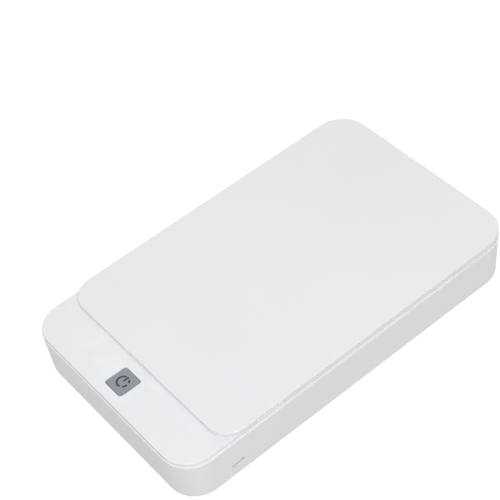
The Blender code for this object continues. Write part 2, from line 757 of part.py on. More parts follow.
def lamps():
    """Two quartz tubes with caps, clips and a reflector each."""
    for side, name in ((-1, "left"), (1, "right")):
        x = side * lamp_x
        low = chamber_centre_y - lamp_half_length
        high = chamber_centre_y + lamp_half_length
        tube = part(f"uv_lamp_{name}", rod(lamp_radius, (x, low, lamp_height),
                                           (x, high, lamp_height), lamp_steps), "quartz")
        cut(tube, rod(lamp_radius - lamp_glass, (x, low - overrun, lamp_height),
                      (x, high + overrun, lamp_height), lamp_steps), "bore")
        for end, place in ((-1, "front"), (1, "rear")):
            outer_y = chamber_centre_y + end * cap_outer
            inner_y = outer_y - end * cap_length
            cap = part(f"lamp_cap_{name}_{place}",
                       rod(cap_radius, (x, outer_y, lamp_height), (x, inner_y, lamp_height),
                           lamp_steps), "cap_ceramic")
            seat = outer_y - end * (cap_length - cap_grip - gap)
            cut(cap, rod(lamp_radius + gap, (x, seat, lamp_height),
                         (x, inner_y - end * overrun, lamp_height), lamp_steps), "socket")
            arch_radius = cap_radius + gap
            middle = chamber_centre_y + end * saddle_centre
            outline = (arc(x, lamp_height, arch_radius + clip_sheet, 0, 180, lamp_steps // 2)
                       + arc(x, lamp_height, arch_radius, 180, 0, lamp_steps // 2))
            part(f"lamp_clip_{name}_{place}",
                 slab([outline], -middle - clip_width / 2, -middle + clip_width / 2, along_y),
                 "steel")
        back = chamber_half_width - reflector_set_in
        centre_x = side * (back - reflector_radius)
        spread = math.degrees(reflector_half_angle)
        turn = 0 if side > 0 else 180
        outline = (arc(centre_x, lamp_height, reflector_radius, turn - spread, turn + spread,
                       lamp_steps // 2)
                   + arc(centre_x, lamp_height, reflector_radius - reflector_sheet,
                         turn + spread, turn - spread, lamp_steps // 2))
        half = saddle_centre - saddle_length / 2 - reflector_end_gap
        part(f"reflector_{name}", slab([outline], -chamber_centre_y - half,
                                       -chamber_centre_y + half, along_y), "aluminium")


def lead_route(side, end, lane):
    """Hand-chosen stations of one lamp lead, from the lamp's cap to its connector."""
    x = side * lamp_x
    lane_x = side * (connector_x + lane * lead_spacing / 2)
    start = chamber_centre_y + end * (cap_outer + gap)
    drop = chamber_centre_y + end * (cap_outer + lead_drop_out)
    rise = (board_rear + tray_front) / 2
    entry_height = parts_on_board + connector_size.z / 2
    entry = board_rear - connector_set_in + gap
    return [(x, start, lamp_height),
            (x, drop - end * lead_bend, lamp_height),
            (x, drop, lamp_height - lead_bend),
            (x, drop, lead_run_height + lead_bend),
            ((x + lane_x) / 2, drop - lead_bend / 2, lead_run_height),
            (lane_x, drop - 3 * lead_bend, lead_run_height),
            (lane_x, rise + lead_bend / 2, lead_run_height),
            (lane_x, rise, lead_run_height + lead_bend / 2),
            (lane_x, rise, entry_height - lead_bend / 2),
            (lane_x, rise - lead_bend / 2, entry_height),
            (lane_x, entry, entry_height)]


def lamp_leads():
    """One insulated lead from each lamp cap, under the tray, to the connector on its side."""
    for side, name in ((-1, "left"), (1, "right")):
        for end, place, lane in ((-1, "front", 1), (1, "rear", -1)):
            part(f"lamp_lead_{name}_{place}", wire(lead_route(side, end, lane), lead_radius),
                 "lead_white")


def main_board():
    """Board in the front compartment, with the port, lamp drive, controller and connectors."""
    outline = [(board_left, board_front), (board_right, board_front),
               (board_right, tongue_front), (tongue_right, tongue_front),
               (tongue_right, tongue_rear), (tongue_left, tongue_rear),
               (tongue_left, board_rear), (board_left, board_rear)]
    board = part("main_board", slab([outline], board_height, board_top), "board_green")
    holes = [rod(small_shank_radius + gap, (x, y, board_height - overrun),
                 (x, y, board_top + overrun)) for x, y in board_screw_places]
    cut(board, together(holes), "screw_holes")
    screws("board_screw", board_screw_places, board_top + gap, board_top - floor_top,
           small_head_radius, small_shank_radius, small_head_height, point_down=True)

    face = half_width - usb_recess
    middle = parts_on_board + usb_height / 2
    outline = rounded_box_loop(usb_y, middle, usb_width, usb_height, usb_corner)
    socket = part("usb_socket", slab([outline], face - usb_depth, face, along_x), "steel")
    mouth = slab([rounded_box_loop(usb_y, middle, usb_width - 2 * usb_sheet,
                                   usb_height - 2 * usb_sheet, usb_corner - usb_sheet)],
                 face - usb_mouth_depth, face + overrun, along_x)
    cut(socket, mouth, "mouth")
    tongue = block(face - usb_mouth_depth - gap, face - usb_recess,
                   usb_y - usb_tongue_width / 2, usb_y + usb_tongue_width / 2,
                   middle - usb_tongue_height / 2, middle + usb_tongue_height / 2)
    fuse(socket, tongue, "tongue")

    for place, x in zip(("left", "right"), transformer_x):
        core = part(f"lamp_transformer_{place}",
                    centred_block(x, transformer_y, parts_on_board, transformer_size), "ferrite")
        window = (transformer_window, transformer_size.y + overrun,
                  transformer_size.z - 2 * transformer_web)
        cut(core, centred_block(x, transformer_y, parts_on_board + transformer_web, window),
            "window")
        coil = rod(transformer_window / 2 - gap,
                   (x, transformer_y, parts_on_board + transformer_web / 2),
                   (x, transformer_y, parts_on_board + transformer_size.z - transformer_web / 2))
        fuse(core, coil, "coil")
    for place, x in zip(("left", "right"), capacitor_x):
        top = parts_on_board + capacitor_height
        can = rod(capacitor_radius, (x, capacitor_y, parts_on_board), (x, capacitor_y, top))
        part(f"capacitor_{place}", round_level(can, top, capacitor_round, 1), "aluminium")
    part("controller_chip",
         centred_block(board_right - chip_from_right, board_front + chip_from_front,
                       parts_on_board, chip_size), "black_plastic")
    for side, name in ((-1, "left"), (1, "right")):
        y = board_rear - connector_set_in - connector_size.y / 2
        part(f"lamp_connector_{name}",
             centred_block(side * connector_x, y, parts_on_board, connector_size),
             "ivory_plastic")
    header_y = button_board_rear - header_set_in - header_size.y / 2
    part("board_link_header",
         centred_block(0, header_y, parts_on_board,
                       (header_size.x, header_size.y, button_board_bottom - gap - parts_on_board)),
         "black_plastic")


def button_group():
    """Square button, its switch, the small board that carries it and the lid's reed switch."""
    half_x, half_y = button_width / 2, button_length / 2
    cap = slab([rounded_loop(half_x, button_y - half_y, button_y + half_y, button_corner,
                             button_corner, round_steps)], button_bottom, button_top)
    cap = round_level(cap, button_top, button_round, 2)
    button = part("power_button", cap, "button_grey", button_pivot)
    flange = slab([inset_loop(half_x, button_y - half_y, button_y + half_y, button_corner,
                              button_corner, -button_flange, round_steps)],
                  button_bottom, button_seat)
    fuse(button, flange, "flange")
    stem = rod(stem_radius, (0, button_y, stem_bottom + gap), (0, button_y, button_bottom + gap))
    fuse(button, stem, "stem")
    break_turn = math.degrees(symbol_break)
    ring = (arc(0, button_y, symbol_radius, 90 + break_turn, 450 - break_turn, symbol_steps)
            + arc(0, button_y, symbol_radius - symbol_stroke, 450 - break_turn, 90 + break_turn,
                  symbol_steps))
    bar = block(-symbol_stroke / 2, symbol_stroke / 2, button_y + symbol_bar_start,
                button_y + symbol_bar_end, button_top - symbol_depth, button_top + overrun)
    symbol = slab([ring], button_top - symbol_depth, button_top + overrun)
    cut(button, together([symbol, bar]), "power_symbol")
    part("switch_plunger", rod(plunger_radius, (0, button_y, switch_top - plunger_in_body),
                               (0, button_y, plunger_top)), "black_plastic", button_pivot)
    body = part("switch_body", centred_block(0, button_y, switch_bottom,
                                             (switch_size, switch_size, switch_height)), "steel")
    well = switch_top - plunger_in_body - button_travel - gap
    cut(body, rod(plunger_radius + gap, (0, button_y, well), (0, button_y, switch_top + overrun)),
        "plunger_well")
    board = part("button_board", block(-button_board_width / 2, button_board_width / 2,
                                       button_board_front, button_board_rear,
                                       button_board_bottom, button_board_top), "board_green")
    holes = [rod(small_shank_radius + gap, (x, y, button_board_bottom - overrun),
                 (x, y, button_board_top + overrun)) for x, y in button_screw_places]
    cut(board, together(holes), "screw_holes")
    screws("button_board_screw", button_screw_places, button_board_bottom - gap,
           button_board_thickness + 2 * gap + small_screw_reach,
           small_head_radius, small_shank_radius, small_head_height)
    reed_y = button_board_rear - reed_set_in
    reed_z = button_board_top + gap + reed_radius
    reed = part("reed_switch", rod(reed_radius, (-reed_length / 2, reed_y, reed_z),
                                   (reed_length / 2, reed_y, reed_z)), "quartz")
    leads = rod(reed_lead_radius, (-reed_length / 2 - reed_lead_length, reed_y, reed_z),
                (reed_length / 2 + reed_lead_length, reed_y, reed_z), hole_steps // 2)
    fuse(reed, leads, "leads")


def lid():
    """Thin lid shell with its liner, light ring, reflecting panel, magnet and hinge arm."""
    outline = (lid_half_width, lid_front, lid_rear, lid_front_radius, corner_radius)
    outer = round_level(slab([rounded_loop(*outline)], lid_under, lid_top), lid_top,
                        lid_top_round)
    shell = part("lid_shell", outer, "white_abs", lid_pivot)
    pocket = slab([inset_loop(*outline, lid_rim_width)], lid_under - overrun, lid_inside)
    cut(shell, pocket, "pocket")
    half_chord = notch_length / 2
    notch_radius = (half_chord ** 2 + notch_depth ** 2) / (2 * notch_depth)
    spread = math.degrees(math.asin(half_chord / notch_radius))
    bite = (arc(lid_half_width - notch_depth + notch_radius, notch_centre_y, notch_radius,
                180 - spread, 180 + spread, corner_steps)
            + [(lid_half_width + overrun, notch_centre_y - half_chord),
               (lid_half_width + overrun, notch_centre_y + half_chord)])
    cut(shell, slab([bite], lid_under - overrun, lid_top - notch_skin), "finger_notch")

    window = rounded_loop(window_half_width, window_front, window_rear, panel_corner,
                          panel_corner)
    liner = part("lid_liner", slab([inset_loop(*outline, liner_inset), window],
                                   lid_under, liner_top), "inner_white", lid_pivot)
    cut(liner, block(-notch_half_width, notch_half_width, notch_front, lid_rear,
                     lid_under - overrun, lid_top), "arm_notch")
    panel = inset_loop(window_half_width, window_front, window_rear, panel_corner, panel_corner,
                       gap)
    part("mirror_panel", slab([panel], liner_top - panel_thickness, liner_top), "satin_mirror",
         lid_pivot)
    ring_outline = rounded_loop(ring_half_width, ring_front, ring_rear, ring_corner, ring_corner)
    bead = round_level(slab([ring_outline, window], ring_bottom, ring_top), ring_bottom,
                       ring_round, 2)
    ring = part("lid_ring", bead, "inner_white", lid_pivot)
    magnet_y = ring_front + ring_width / 2
    pocket_low = ring_top - gap - magnet_thickness
    pocket = block(-magnet_length / 2 - gap, magnet_length / 2 + gap,
                   magnet_y - magnet_width / 2 - gap, magnet_y + magnet_width / 2 + gap,
                   pocket_low, ring_top + overrun)
    cut(ring, pocket, "magnet_pocket")
    part("interlock_magnet", centred_block(0, magnet_y, pocket_low + gap,
                                           (magnet_length, magnet_width, magnet_thickness)),
         "steel", lid_pivot)

    rear_angle = math.degrees(math.acos(web_rear / barrel_radius))
    profile = ([(hinge_y - barrel_radius, liner_top)]
               + [(hinge_y + y, hinge_z + z)
                  for y, z in arc(0, 0, barrel_radius, 180, 360 + rear_angle, barrel_steps)]
               + [(hinge_y + web_rear, liner_top)])
    arm = part("hinge_arm", slab([profile], -arm_half_width, arm_half_width, along_x),
               "white_abs", lid_pivot)
    pin_depth = pin_in_arm + gap
    bores = [rod(pin_radius + gap, (side * (arm_half_width - pin_depth), hinge_y, hinge_z),
                 (side * (arm_half_width + overrun), hinge_y, hinge_z)) for side in (-1, 1)]
    cut(arm, together(bores), "pin_bores")


def feet():
    """Rubber foot in a round recess under each corner."""
    for sx, across in ((-1, "left"), (1, "right")):
        for sy, along in ((-1, "front"), (1, "rear")):
            pad = rod(foot_radius, (sx * foot_x, sy * foot_y, 0),
                      (sx * foot_x, sy * foot_y, foot_height), 2 * hole_steps)
            part(f"foot_{across}_{along}", round_level(pad, 0, foot_round, 1), "rubber")


lower_housing()
upper_deck()
hinge_bracket()
chamber_tray()
lamps()
lamp_leads()
main_board()
button_group()
lid()
feet()
screws("housing_screw", boss_places, screw_seat, boss_split_height + gap + screw_reach - screw_seat,
       screw_head_radius, screw_shank_radius, screw_head_height)
bpy.context.view_layer.update()
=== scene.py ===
import json
import math

import bmesh
import bpy
from mathutils import Matrix, Vector


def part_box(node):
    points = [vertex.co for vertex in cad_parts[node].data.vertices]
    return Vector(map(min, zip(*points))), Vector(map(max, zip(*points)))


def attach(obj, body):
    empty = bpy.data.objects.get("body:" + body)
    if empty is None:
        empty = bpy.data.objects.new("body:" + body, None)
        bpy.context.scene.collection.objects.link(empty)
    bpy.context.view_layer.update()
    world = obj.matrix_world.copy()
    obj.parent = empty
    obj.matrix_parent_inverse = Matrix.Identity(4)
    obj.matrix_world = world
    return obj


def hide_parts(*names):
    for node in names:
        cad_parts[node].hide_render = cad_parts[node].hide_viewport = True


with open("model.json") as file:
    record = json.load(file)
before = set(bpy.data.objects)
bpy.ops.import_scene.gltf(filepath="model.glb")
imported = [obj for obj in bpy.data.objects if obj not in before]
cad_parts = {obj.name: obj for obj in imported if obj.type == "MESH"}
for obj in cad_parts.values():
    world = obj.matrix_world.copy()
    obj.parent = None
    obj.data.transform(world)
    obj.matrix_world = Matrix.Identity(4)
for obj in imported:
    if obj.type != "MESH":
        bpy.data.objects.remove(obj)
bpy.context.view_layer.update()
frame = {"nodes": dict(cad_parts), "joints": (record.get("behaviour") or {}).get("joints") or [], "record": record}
mm = 0.001
print("frame loaded with", len(frame["nodes"]), "nodes")

# Camera at the photograph's angle, fitted to the box's straight edges
cameraView = {"place": (0.40455, -0.27675, 0.58435), "aim": (-0.03195, 0.01030, 0.01869),
              "roll": -8.834, "lens": 102.47, "sensor": 36.0}


def placeCamera(view):
    lens = bpy.data.cameras.new("photoCamera")
    lens.lens = view["lens"]
    lens.sensor_width = view["sensor"]
    lens.clip_start, lens.clip_end = 0.01, 20.0
    camera = bpy.data.objects.new("photoCamera", lens)
    bpy.context.scene.collection.objects.link(camera)
    place = Vector(view["place"])
    turn = (Vector(view["aim"]) - place).to_track_quat("-Z", "Y").to_matrix().to_4x4()
    roll = Matrix.Rotation(math.radians(view["roll"]), 4, "Z")
    camera.matrix_world = Matrix.Translation(place) @ turn @ roll
    bpy.context.scene.camera = camera


placeCamera(cameraView)
print("camera placed")


# Node trees: one helper that adds a node, sets its values and links its inputs
def addNode(tree, kind, inputs=None, **settings):
    made = tree.nodes.new(kind)
    for key, value in settings.items():
        setattr(made, key, value)
    for key, value in (inputs or {}).items():
        if isinstance(value, bpy.types.NodeSocket):
            tree.links.new(value, made.inputs[key])
        else:
            made.inputs[key].default_value = value
    return made


def math2(tree, operation, first, second, clamp=False):
    made = addNode(tree, "ShaderNodeMath", {0: first, 1: second}, operation=operation)
    made.use_clamp = clamp
    return made.outputs[0]


def ramp(tree, factor, low, high, toLow=0.0, toHigh=1.0):
    made = addNode(tree, "ShaderNodeMapRange", {"Value": factor, "From Min": low, "From Max": high,
                                                "To Min": toLow, "To Max": toHigh})
    return made.outputs["Result"]


def mixColours(tree, factor, first, second, blend="MIX"):
    made = addNode(tree, "ShaderNodeMix", {0: factor, 6: first, 7: second}, data_type="RGBA",
                   blend_type=blend)
    return made.outputs[2]


def noise(tree, coords, scale, detail=2.0, rough=0.5):
    made = addNode(tree, "ShaderNodeTexNoise", {"Vector": coords, "Scale": scale, "Detail": detail,
                                                "Roughness": rough})
    return made.outputs["Fac"]


def newMaterial(name):
    made = bpy.data.materials.new(name)
    made.use_nodes = True
    tree = made.node_tree
    shader = tree.nodes["Principled BSDF"]
    coords = addNode(tree, "ShaderNodeTexCoord").outputs["Object"]
    return made, tree, shader, coords


def moulded(name, look):      # any moulded, painted or ceramic surface
    made, tree, shader, coords = newMaterial(name)
    tone = (*look["tone"], 1.0)
    shade = (*look["shade"], 1.0)
    clouds = noise(tree, coords, look["cloudScale"], 3.0)
    flow = noise(tree, coords, look["cloudScale"] * 0.35, 1.0)
    colour = mixColours(tree, ramp(tree, clouds, 0.35, 0.65), tone, shade)
    grain = noise(tree, coords, look["grainScale"], 2.0, 0.6)
    specks = addNode(tree, "ShaderNodeTexVoronoi",
                     {"Vector": coords, "Scale": look["grainScale"] * 0.6}).outputs["Distance"]
    # Edge mask lightens the colour along bent edges: real wear, and on the white shell also a painted highlight
    # along the edges
    edge = addNode(tree, "ShaderNodeAttribute", attribute_name="edgeWearAndSheen").outputs["Fac"]
    scuffs = noise(tree, coords, look["scuffScale"], 4.0, 0.7)
    wornAndSheen = math2(tree, "MULTIPLY", edge, ramp(tree, scuffs, 0.42, 0.66), True)
    colour = mixColours(tree, wornAndSheen, colour, (*look["wearAndSheenTone"], 1.0))
    tree.links.new(colour, shader.inputs["Base Color"])
    low, high = look["roughness"]
    rough = ramp(tree, flow, 0.3, 0.7, low, high)
    rough = math2(tree, "ADD", rough, ramp(tree, scuffs, 0.55, 0.8, 0.0, look["smudge"]))
    rough = math2(tree, "SUBTRACT", rough, math2(tree, "MULTIPLY", wornAndSheen, look["polish"]))
    tree.links.new(rough, shader.inputs["Roughness"])
    relief = math2(tree, "ADD", grain, math2(tree, "MULTIPLY", specks, 0.5))
    bump = addNode(tree, "ShaderNodeBump", {"Strength": look["grainDepth"], "Distance": 0.05 * mm,
                                            "Height": relief})
    tree.links.new(bump.outputs["Normal"], shader.inputs["Normal"])
    shader.inputs["IOR"].default_value = look.get("ior", 1.5)
    shader.inputs["Subsurface Weight"].default_value = look.get("depth", 0.0)
    shader.inputs["Subsurface Radius"].default_value = (0.0012, 0.0012, 0.001)
    return made


def sheetMetal(name, look):      # rolled, plated or satin metal with a grain along one axis
    made, tree, shader, coords = newMaterial(name)
    stretched = addNode(tree, "ShaderNodeMapping", {"Vector": coords, "Scale": look["stretch"]})
    lines = noise(tree, stretched.outputs[0], look["lineScale"], 4.0, 0.7)
    blotches = noise(tree, coords, look["blotchScale"], 3.0)
    colour = mixColours(tree, ramp(tree, blotches, 0.3, 0.7), (*look["tone"], 1.0),
                        (*look["shade"], 1.0))
    edge = addNode(tree, "ShaderNodeAttribute", attribute_name="edgeWearAndSheen").outputs["Fac"]
    colour = mixColours(tree, math2(tree, "MULTIPLY", edge, 0.5), colour, (*look["wearAndSheenTone"], 1.0))
    tree.links.new(colour, shader.inputs["Base Color"])
    low, high = look["roughness"]
    spread = math2(tree, "ADD", ramp(tree, lines, 0.3, 0.7, low, high),
                   ramp(tree, blotches, 0.4, 0.8, 0.0, 0.06))
    tree.links.new(spread, shader.inputs["Roughness"])
    bump = addNode(tree, "ShaderNodeBump", {"Strength": look["lineDepth"], "Distance": 0.02 * mm,
                                            "Height": lines})
    tree.links.new(bump.outputs["Normal"], shader.inputs["Normal"])
    shader.inputs["Metallic"].default_value = 1.0
    return made


def clearTube(name, look):      # drawn glass with faint streaks and a tint
    made, tree, shader, coords = newMaterial(name)
    drawn = addNode(tree, "ShaderNodeMapping", {"Vector": coords, "Scale": (1.0, 0.06, 1.0)})
    streaks = noise(tree, drawn.outputs[0], look["streakScale"], 3.0)
    dust = noise(tree, coords, look["dustScale"], 4.0, 0.7)
    colour = mixColours(tree, ramp(tree, streaks, 0.4, 0.7), (*look["tone"], 1.0),
                        (*look["tint"], 1.0))
    tree.links.new(colour, shader.inputs["Base Color"])
    tree.links.new(ramp(tree, dust, 0.5, 0.8, look["roughness"], look["roughness"] + 0.12),
                   shader.inputs["Roughness"])
    shader.inputs["Transmission Weight"].default_value = look["clear"]
    shader.inputs["IOR"].default_value = 1.46
    bump = addNode(tree, "ShaderNodeBump", {"Strength": 0.08, "Distance": 0.02 * mm,
                                            "Height": streaks})
    tree.links.new(bump.outputs["Normal"], shader.inputs["Normal"])
    return made


def circuitBoard(name, look):      # solder mask over copper tracks and drilled vias
    made, tree, shader, coords = newMaterial(name)
    cells = addNode(tree, "ShaderNodeTexBrick",
                    {"Vector": coords, "Scale": look["trackScale"], "Mortar Size": 0.06,
                     "Color1": (0, 0, 0, 1), "Color2": (0, 0, 0, 1), "Mortar": (1, 1, 1, 1)})
    vias = addNode(tree, "ShaderNodeTexVoronoi", {"Vector": coords, "Scale": look["viaScale"]})
    tracks = mixColours(tree, cells.outputs["Fac"], (*look["mask"], 1.0), (*look["track"], 1.0))
    colour = mixColours(tree, ramp(tree, vias.outputs["Distance"], 0.16, 0.12), tracks,
                        (*look["pad"], 1.0))
    tree.links.new(colour, shader.inputs["Base Color"])
    weave = noise(tree, coords, look["weaveScale"], 2.0)
    tree.links.new(ramp(tree, weave, 0.3, 0.7, 0.32, 0.5), shader.inputs["Roughness"])
    height = math2(tree, "ADD", cells.outputs["Fac"], math2(tree, "MULTIPLY", weave, 0.4))
    bump = addNode(tree, "ShaderNodeBump", {"Strength": 0.5, "Distance": 0.03 * mm,
                                            "Height": height})
    tree.links.new(bump.outputs["Normal"], shader.inputs["Normal"])
    return made


# The white shell's lighter edge tone is partly wear and partly a painted highlight along its edges
whiteShellLook = {"tone": (0.815, 0.82, 0.835), "shade": (0.80, 0.805, 0.822),
                  "wearAndSheenTone": (0.845, 0.85, 0.86), "cloudScale": 14.0, "grainScale": 5200.0,
                  "grainDepth": 0.10, "scuffScale": 90.0, "roughness": (0.33, 0.40),
                  "smudge": 0.06, "polish": 0.08, "depth": 0.0}
innerWhiteLook = dict(whiteShellLook, tone=(0.80, 0.80, 0.815), shade=(0.77, 0.775, 0.79),
                      roughness=(0.42, 0.50), grainDepth=0.16)
buttonGreyLook = dict(whiteShellLook, tone=(0.262, 0.281, 0.308), shade=(0.245, 0.264, 0.291),
                      wearAndSheenTone=(0.33, 0.36, 0.40), roughness=(0.36, 0.44), cloudScale=60.0)
symbolInkLook = dict(whiteShellLook, tone=(0.014, 0.018, 0.026), shade=(0.020, 0.024, 0.032),
                     wearAndSheenTone=(0.05, 0.055, 0.06), roughness=(0.5, 0.6), cloudScale=300.0)
capCeramicLook = dict(whiteShellLook, tone=(0.82, 0.80, 0.75), shade=(0.76, 0.74, 0.69),
                      wearAndSheenTone=(0.62, 0.60, 0.56), roughness=(0.5, 0.62), cloudScale=160.0,
                      grainDepth=0.3)
blackPlasticLook = dict(whiteShellLook, tone=(0.030, 0.030, 0.034), shade=(0.022, 0.022, 0.025),
                        wearAndSheenTone=(0.09, 0.09, 0.09), roughness=(0.42, 0.52))
ivoryPlasticLook = dict(whiteShellLook, tone=(0.74, 0.69, 0.57), shade=(0.68, 0.63, 0.51),
                        wearAndSheenTone=(0.80, 0.76, 0.66), roughness=(0.42, 0.5), cloudScale=120.0)
leadWhiteLook = dict(whiteShellLook, tone=(0.77, 0.77, 0.75), shade=(0.70, 0.70, 0.68),
                     wearAndSheenTone=(0.6, 0.6, 0.58), roughness=(0.5, 0.6), cloudScale=90.0)
ferriteLook = dict(whiteShellLook, tone=(0.060, 0.060, 0.068), shade=(0.042, 0.042, 0.047),
                   wearAndSheenTone=(0.16, 0.16, 0.16), roughness=(0.55, 0.7), cloudScale=200.0,
                   grainDepth=0.6)
footRubberLook = dict(whiteShellLook, tone=(0.30, 0.30, 0.31), shade=(0.25, 0.25, 0.26),
                      wearAndSheenTone=(0.36, 0.36, 0.36), roughness=(0.72, 0.85), cloudScale=180.0,
                      grainDepth=0.5)
platedSteelLook = {"tone": (0.56, 0.57, 0.58), "shade": (0.46, 0.47, 0.49),
                   "wearAndSheenTone": (0.72, 0.72, 0.72), "stretch": (1.0, 1.0, 0.15),
                   "lineScale": 2500.0, "blotchScale": 300.0, "roughness": (0.24, 0.38),
                   "lineDepth": 0.12}
aluminiumLook = dict(platedSteelLook, tone=(0.80, 0.81, 0.82), shade=(0.72, 0.73, 0.75),
                     wearAndSheenTone=(0.88, 0.88, 0.88), stretch=(1.0, 0.05, 1.0), lineScale=1800.0,
                     blotchScale=60.0, roughness=(0.14, 0.26))
mirrorLook = dict(platedSteelLook, tone=(0.66, 0.68, 0.70), shade=(0.60, 0.62, 0.645),
                  wearAndSheenTone=(0.75, 0.76, 0.77), stretch=(1.0, 0.08, 1.0), lineScale=900.0,
                  blotchScale=22.0, roughness=(0.26, 0.36), lineDepth=0.05)
goldLook = dict(platedSteelLook, tone=(0.85, 0.60, 0.25), shade=(0.78, 0.53, 0.20),
                wearAndSheenTone=(0.9, 0.7, 0.4))
quartzLook = {"tone": (0.97, 0.96, 1.0), "tint": (0.90, 0.86, 1.0), "streakScale": 700.0,
              "dustScale": 400.0, "roughness": 0.03, "clear": 0.92}
boardLook = {"mask": (0.025, 0.17, 0.08), "track": (0.06, 0.30, 0.13), "pad": (0.72, 0.62, 0.42),
             "trackScale": 260.0, "viaScale": 210.0, "weaveScale": 3000.0}

finishes = {
    "white_abs": moulded("whiteShell", whiteShellLook),
    "inner_white": moulded("innerWhite", innerWhiteLook),
    "button_grey": moulded("buttonGrey", buttonGreyLook),
    "symbolInk": moulded("symbolInk", symbolInkLook),
    "satin_mirror": sheetMetal("satinMirror", mirrorLook),
    "aluminium": sheetMetal("brightAluminium", aluminiumLook),
    "steel": sheetMetal("platedSteel", platedSteelLook),
    "goldContact": sheetMetal("goldContact", goldLook),
    "quartz": clearTube("lampQuartz", quartzLook),
    "cap_ceramic": moulded("capCeramic", capCeramicLook),
    "board_green": circuitBoard("boardGreen", boardLook),
    "ferrite": moulded("coreFerrite", ferriteLook),
    "black_plastic": moulded("blackPlastic", blackPlasticLook),
    "ivory_plastic": moulded("ivoryPlastic", ivoryPlasticLook),
    "lead_white": moulded("leadInsulation", leadWhiteLook),
    "rubber": moulded("footRubber", footRubberLook),
}
print("materials made:", len(finishes))


# Shapes: outlines, lofts through rings of one outline, revolved profiles and prisms
leastRadius = 0.05 * mm


def arcPoints(centreX, centreY, radius, start, end, steps):      # angles in degrees
    angles = [math.radians(start + (end - start) * i / steps) for i in range(steps + 1)]
    return [(centreX + radius * math.cos(a), centreY + radius * math.sin(a)) for a in angles]


def circlePoints(centreX, centreY, radius, steps):
    return arcPoints(centreX, centreY, radius, 0, 360 - 360 / steps, steps - 1)


def roundedOutline(shape, inset=0.0, steps=18):      # plate outline about x = 0, moved inwards
    half = shape["half"] - inset
    front, rear = shape["front"] + inset, shape["rear"] - inset
    least = shape.get("leastRadius", leastRadius)
    frontRadius = max(shape["frontRadius"] - inset, least)
    rearRadius = max(shape["rearRadius"] - inset, least)
    return (arcPoints(half - rearRadius, rear - rearRadius, rearRadius, 0, 90, steps)
            + arcPoints(-half + rearRadius, rear - rearRadius, rearRadius, 90, 180, steps)
            + arcPoints(-half + frontRadius, front + frontRadius, frontRadius, 180, 270, steps)
            + arcPoints(half - frontRadius, front + frontRadius, frontRadius, 270, 360, steps))


def linkMesh(name, shape):      # bmesh to a named object at the origin
    bmesh.ops.recalc_face_normals(shape, faces=shape.faces)
    mesh = bpy.data.meshes.new(name)
    shape.to_mesh(mesh)
    shape.free()
    made = bpy.data.objects.new(name, mesh)
    bpy.context.scene.collection.objects.link(made)
    return made


# Edge mask per profile point, used for wear and for a painted edge highlight in the colour
def profileWearAndSheen(profile, closed):      # how much a profile bends at each point, 0 to 1
    wearAndSheen = []
    for i, point in enumerate(profile):
        if not closed and i in (0, len(profile) - 1):
            wearAndSheen.append(0.0)
            continue
        before = Vector(point) - Vector(profile[i - 1])
        after = Vector(profile[(i + 1) % len(profile)]) - Vector(point)
        bend = math.degrees(before.angle(after, 0.0))
        wearAndSheen.append(min(1.0, bend / 12.0))
    return wearAndSheen


def loft(name, shape, profile, steps=18, closed=False):      # profile of (inset, height) pairs
    made = bmesh.new()
    wornAndSheen = made.verts.layers.float.new("edgeWearAndSheen")
    rings = []
    for (inset, height), wearAndSheen in zip(profile, profileWearAndSheen(profile, closed)):
        ring = [made.verts.new((x, y, height)) for x, y in roundedOutline(shape, inset, steps)]
        for vertex in ring:
            vertex[wornAndSheen] = wearAndSheen
        rings.append(ring)
    pairs = list(zip(rings, rings[1:])) + ([(rings[-1], rings[0])] if closed else [])
    for low, high in pairs:
        for i in range(len(low)):
            j = (i + 1) % len(low)
            made.faces.new((low[i], low[j], high[j], high[i]))
    if not closed:
        made.faces.new(list(reversed(rings[0])))
        made.faces.new(rings[-1])
    return linkMesh(name, made)


def turnedPiece(name, profile, steps=32, centre=(0, 0, 0), closed=True):      # (radius, height)
    made = bmesh.new()
    points = [made.verts.new((radius, 0, height)) for radius, height in profile]
    for first, second in zip(points, points[1:]):
        made.edges.new((first, second))
    bmesh.ops.spin(made, geom=made.verts[:] + made.edges[:], axis=(0, 0, 1), cent=(0, 0, 0),
                   steps=steps, angle=math.tau, use_merge=True)
    bmesh.ops.remove_doubles(made, verts=made.verts, dist=0.002 * mm)
    if closed:
        bmesh.ops.holes_fill(made, edges=[e for e in made.edges if len(e.link_faces) == 1])
    bmesh.ops.translate(made, verts=made.verts, vec=centre)
    return linkMesh(name, made)


def prism(name, points, low, high, turn=Matrix()):      # outline extruded along the turn's Z
    made = bmesh.new()
    base = made.faces.new([made.verts.new((x, y, low)) for x, y in points])
    top = bmesh.ops.extrude_face_region(made, geom=[base])
    moved = [v for v in top["geom"] if isinstance(v, bmesh.types.BMVert)]
    bmesh.ops.translate(made, verts=moved, vec=(0, 0, high - low))
    bmesh.ops.transform(made, matrix=turn, verts=made.verts)
    return linkMesh(name, made)


def boxPiece(name, low, high):
    return prism(name, [(low[0], low[1]), (high[0], low[1]), (high[0], high[1]),
                        (low[0], high[1])], low[2], high[2])


alongX = Matrix(((0, 0, 1, 0), (1, 0, 0, 0), (0, 1, 0, 0), (0, 0, 0, 1)))      # outline in YZ
alongY = Matrix(((1, 0, 0, 0), (0, 0, -1, 0), (0, 1, 0, 0), (0, 0, 0, 1)))      # outline in XZ


def settle(piece):      # modifiers into the mesh
    bpy.context.view_layer.update()
    graph = bpy.context.evaluated_depsgraph_get()
    plain = bpy.data.meshes.new_from_object(piece.evaluated_get(graph), depsgraph=graph)
    old = piece.data
    piece.modifiers.clear()
    piece.data = plain
    plain.name = piece.name
    if old.users == 0:
        bpy.data.meshes.remove(old)
    return piece


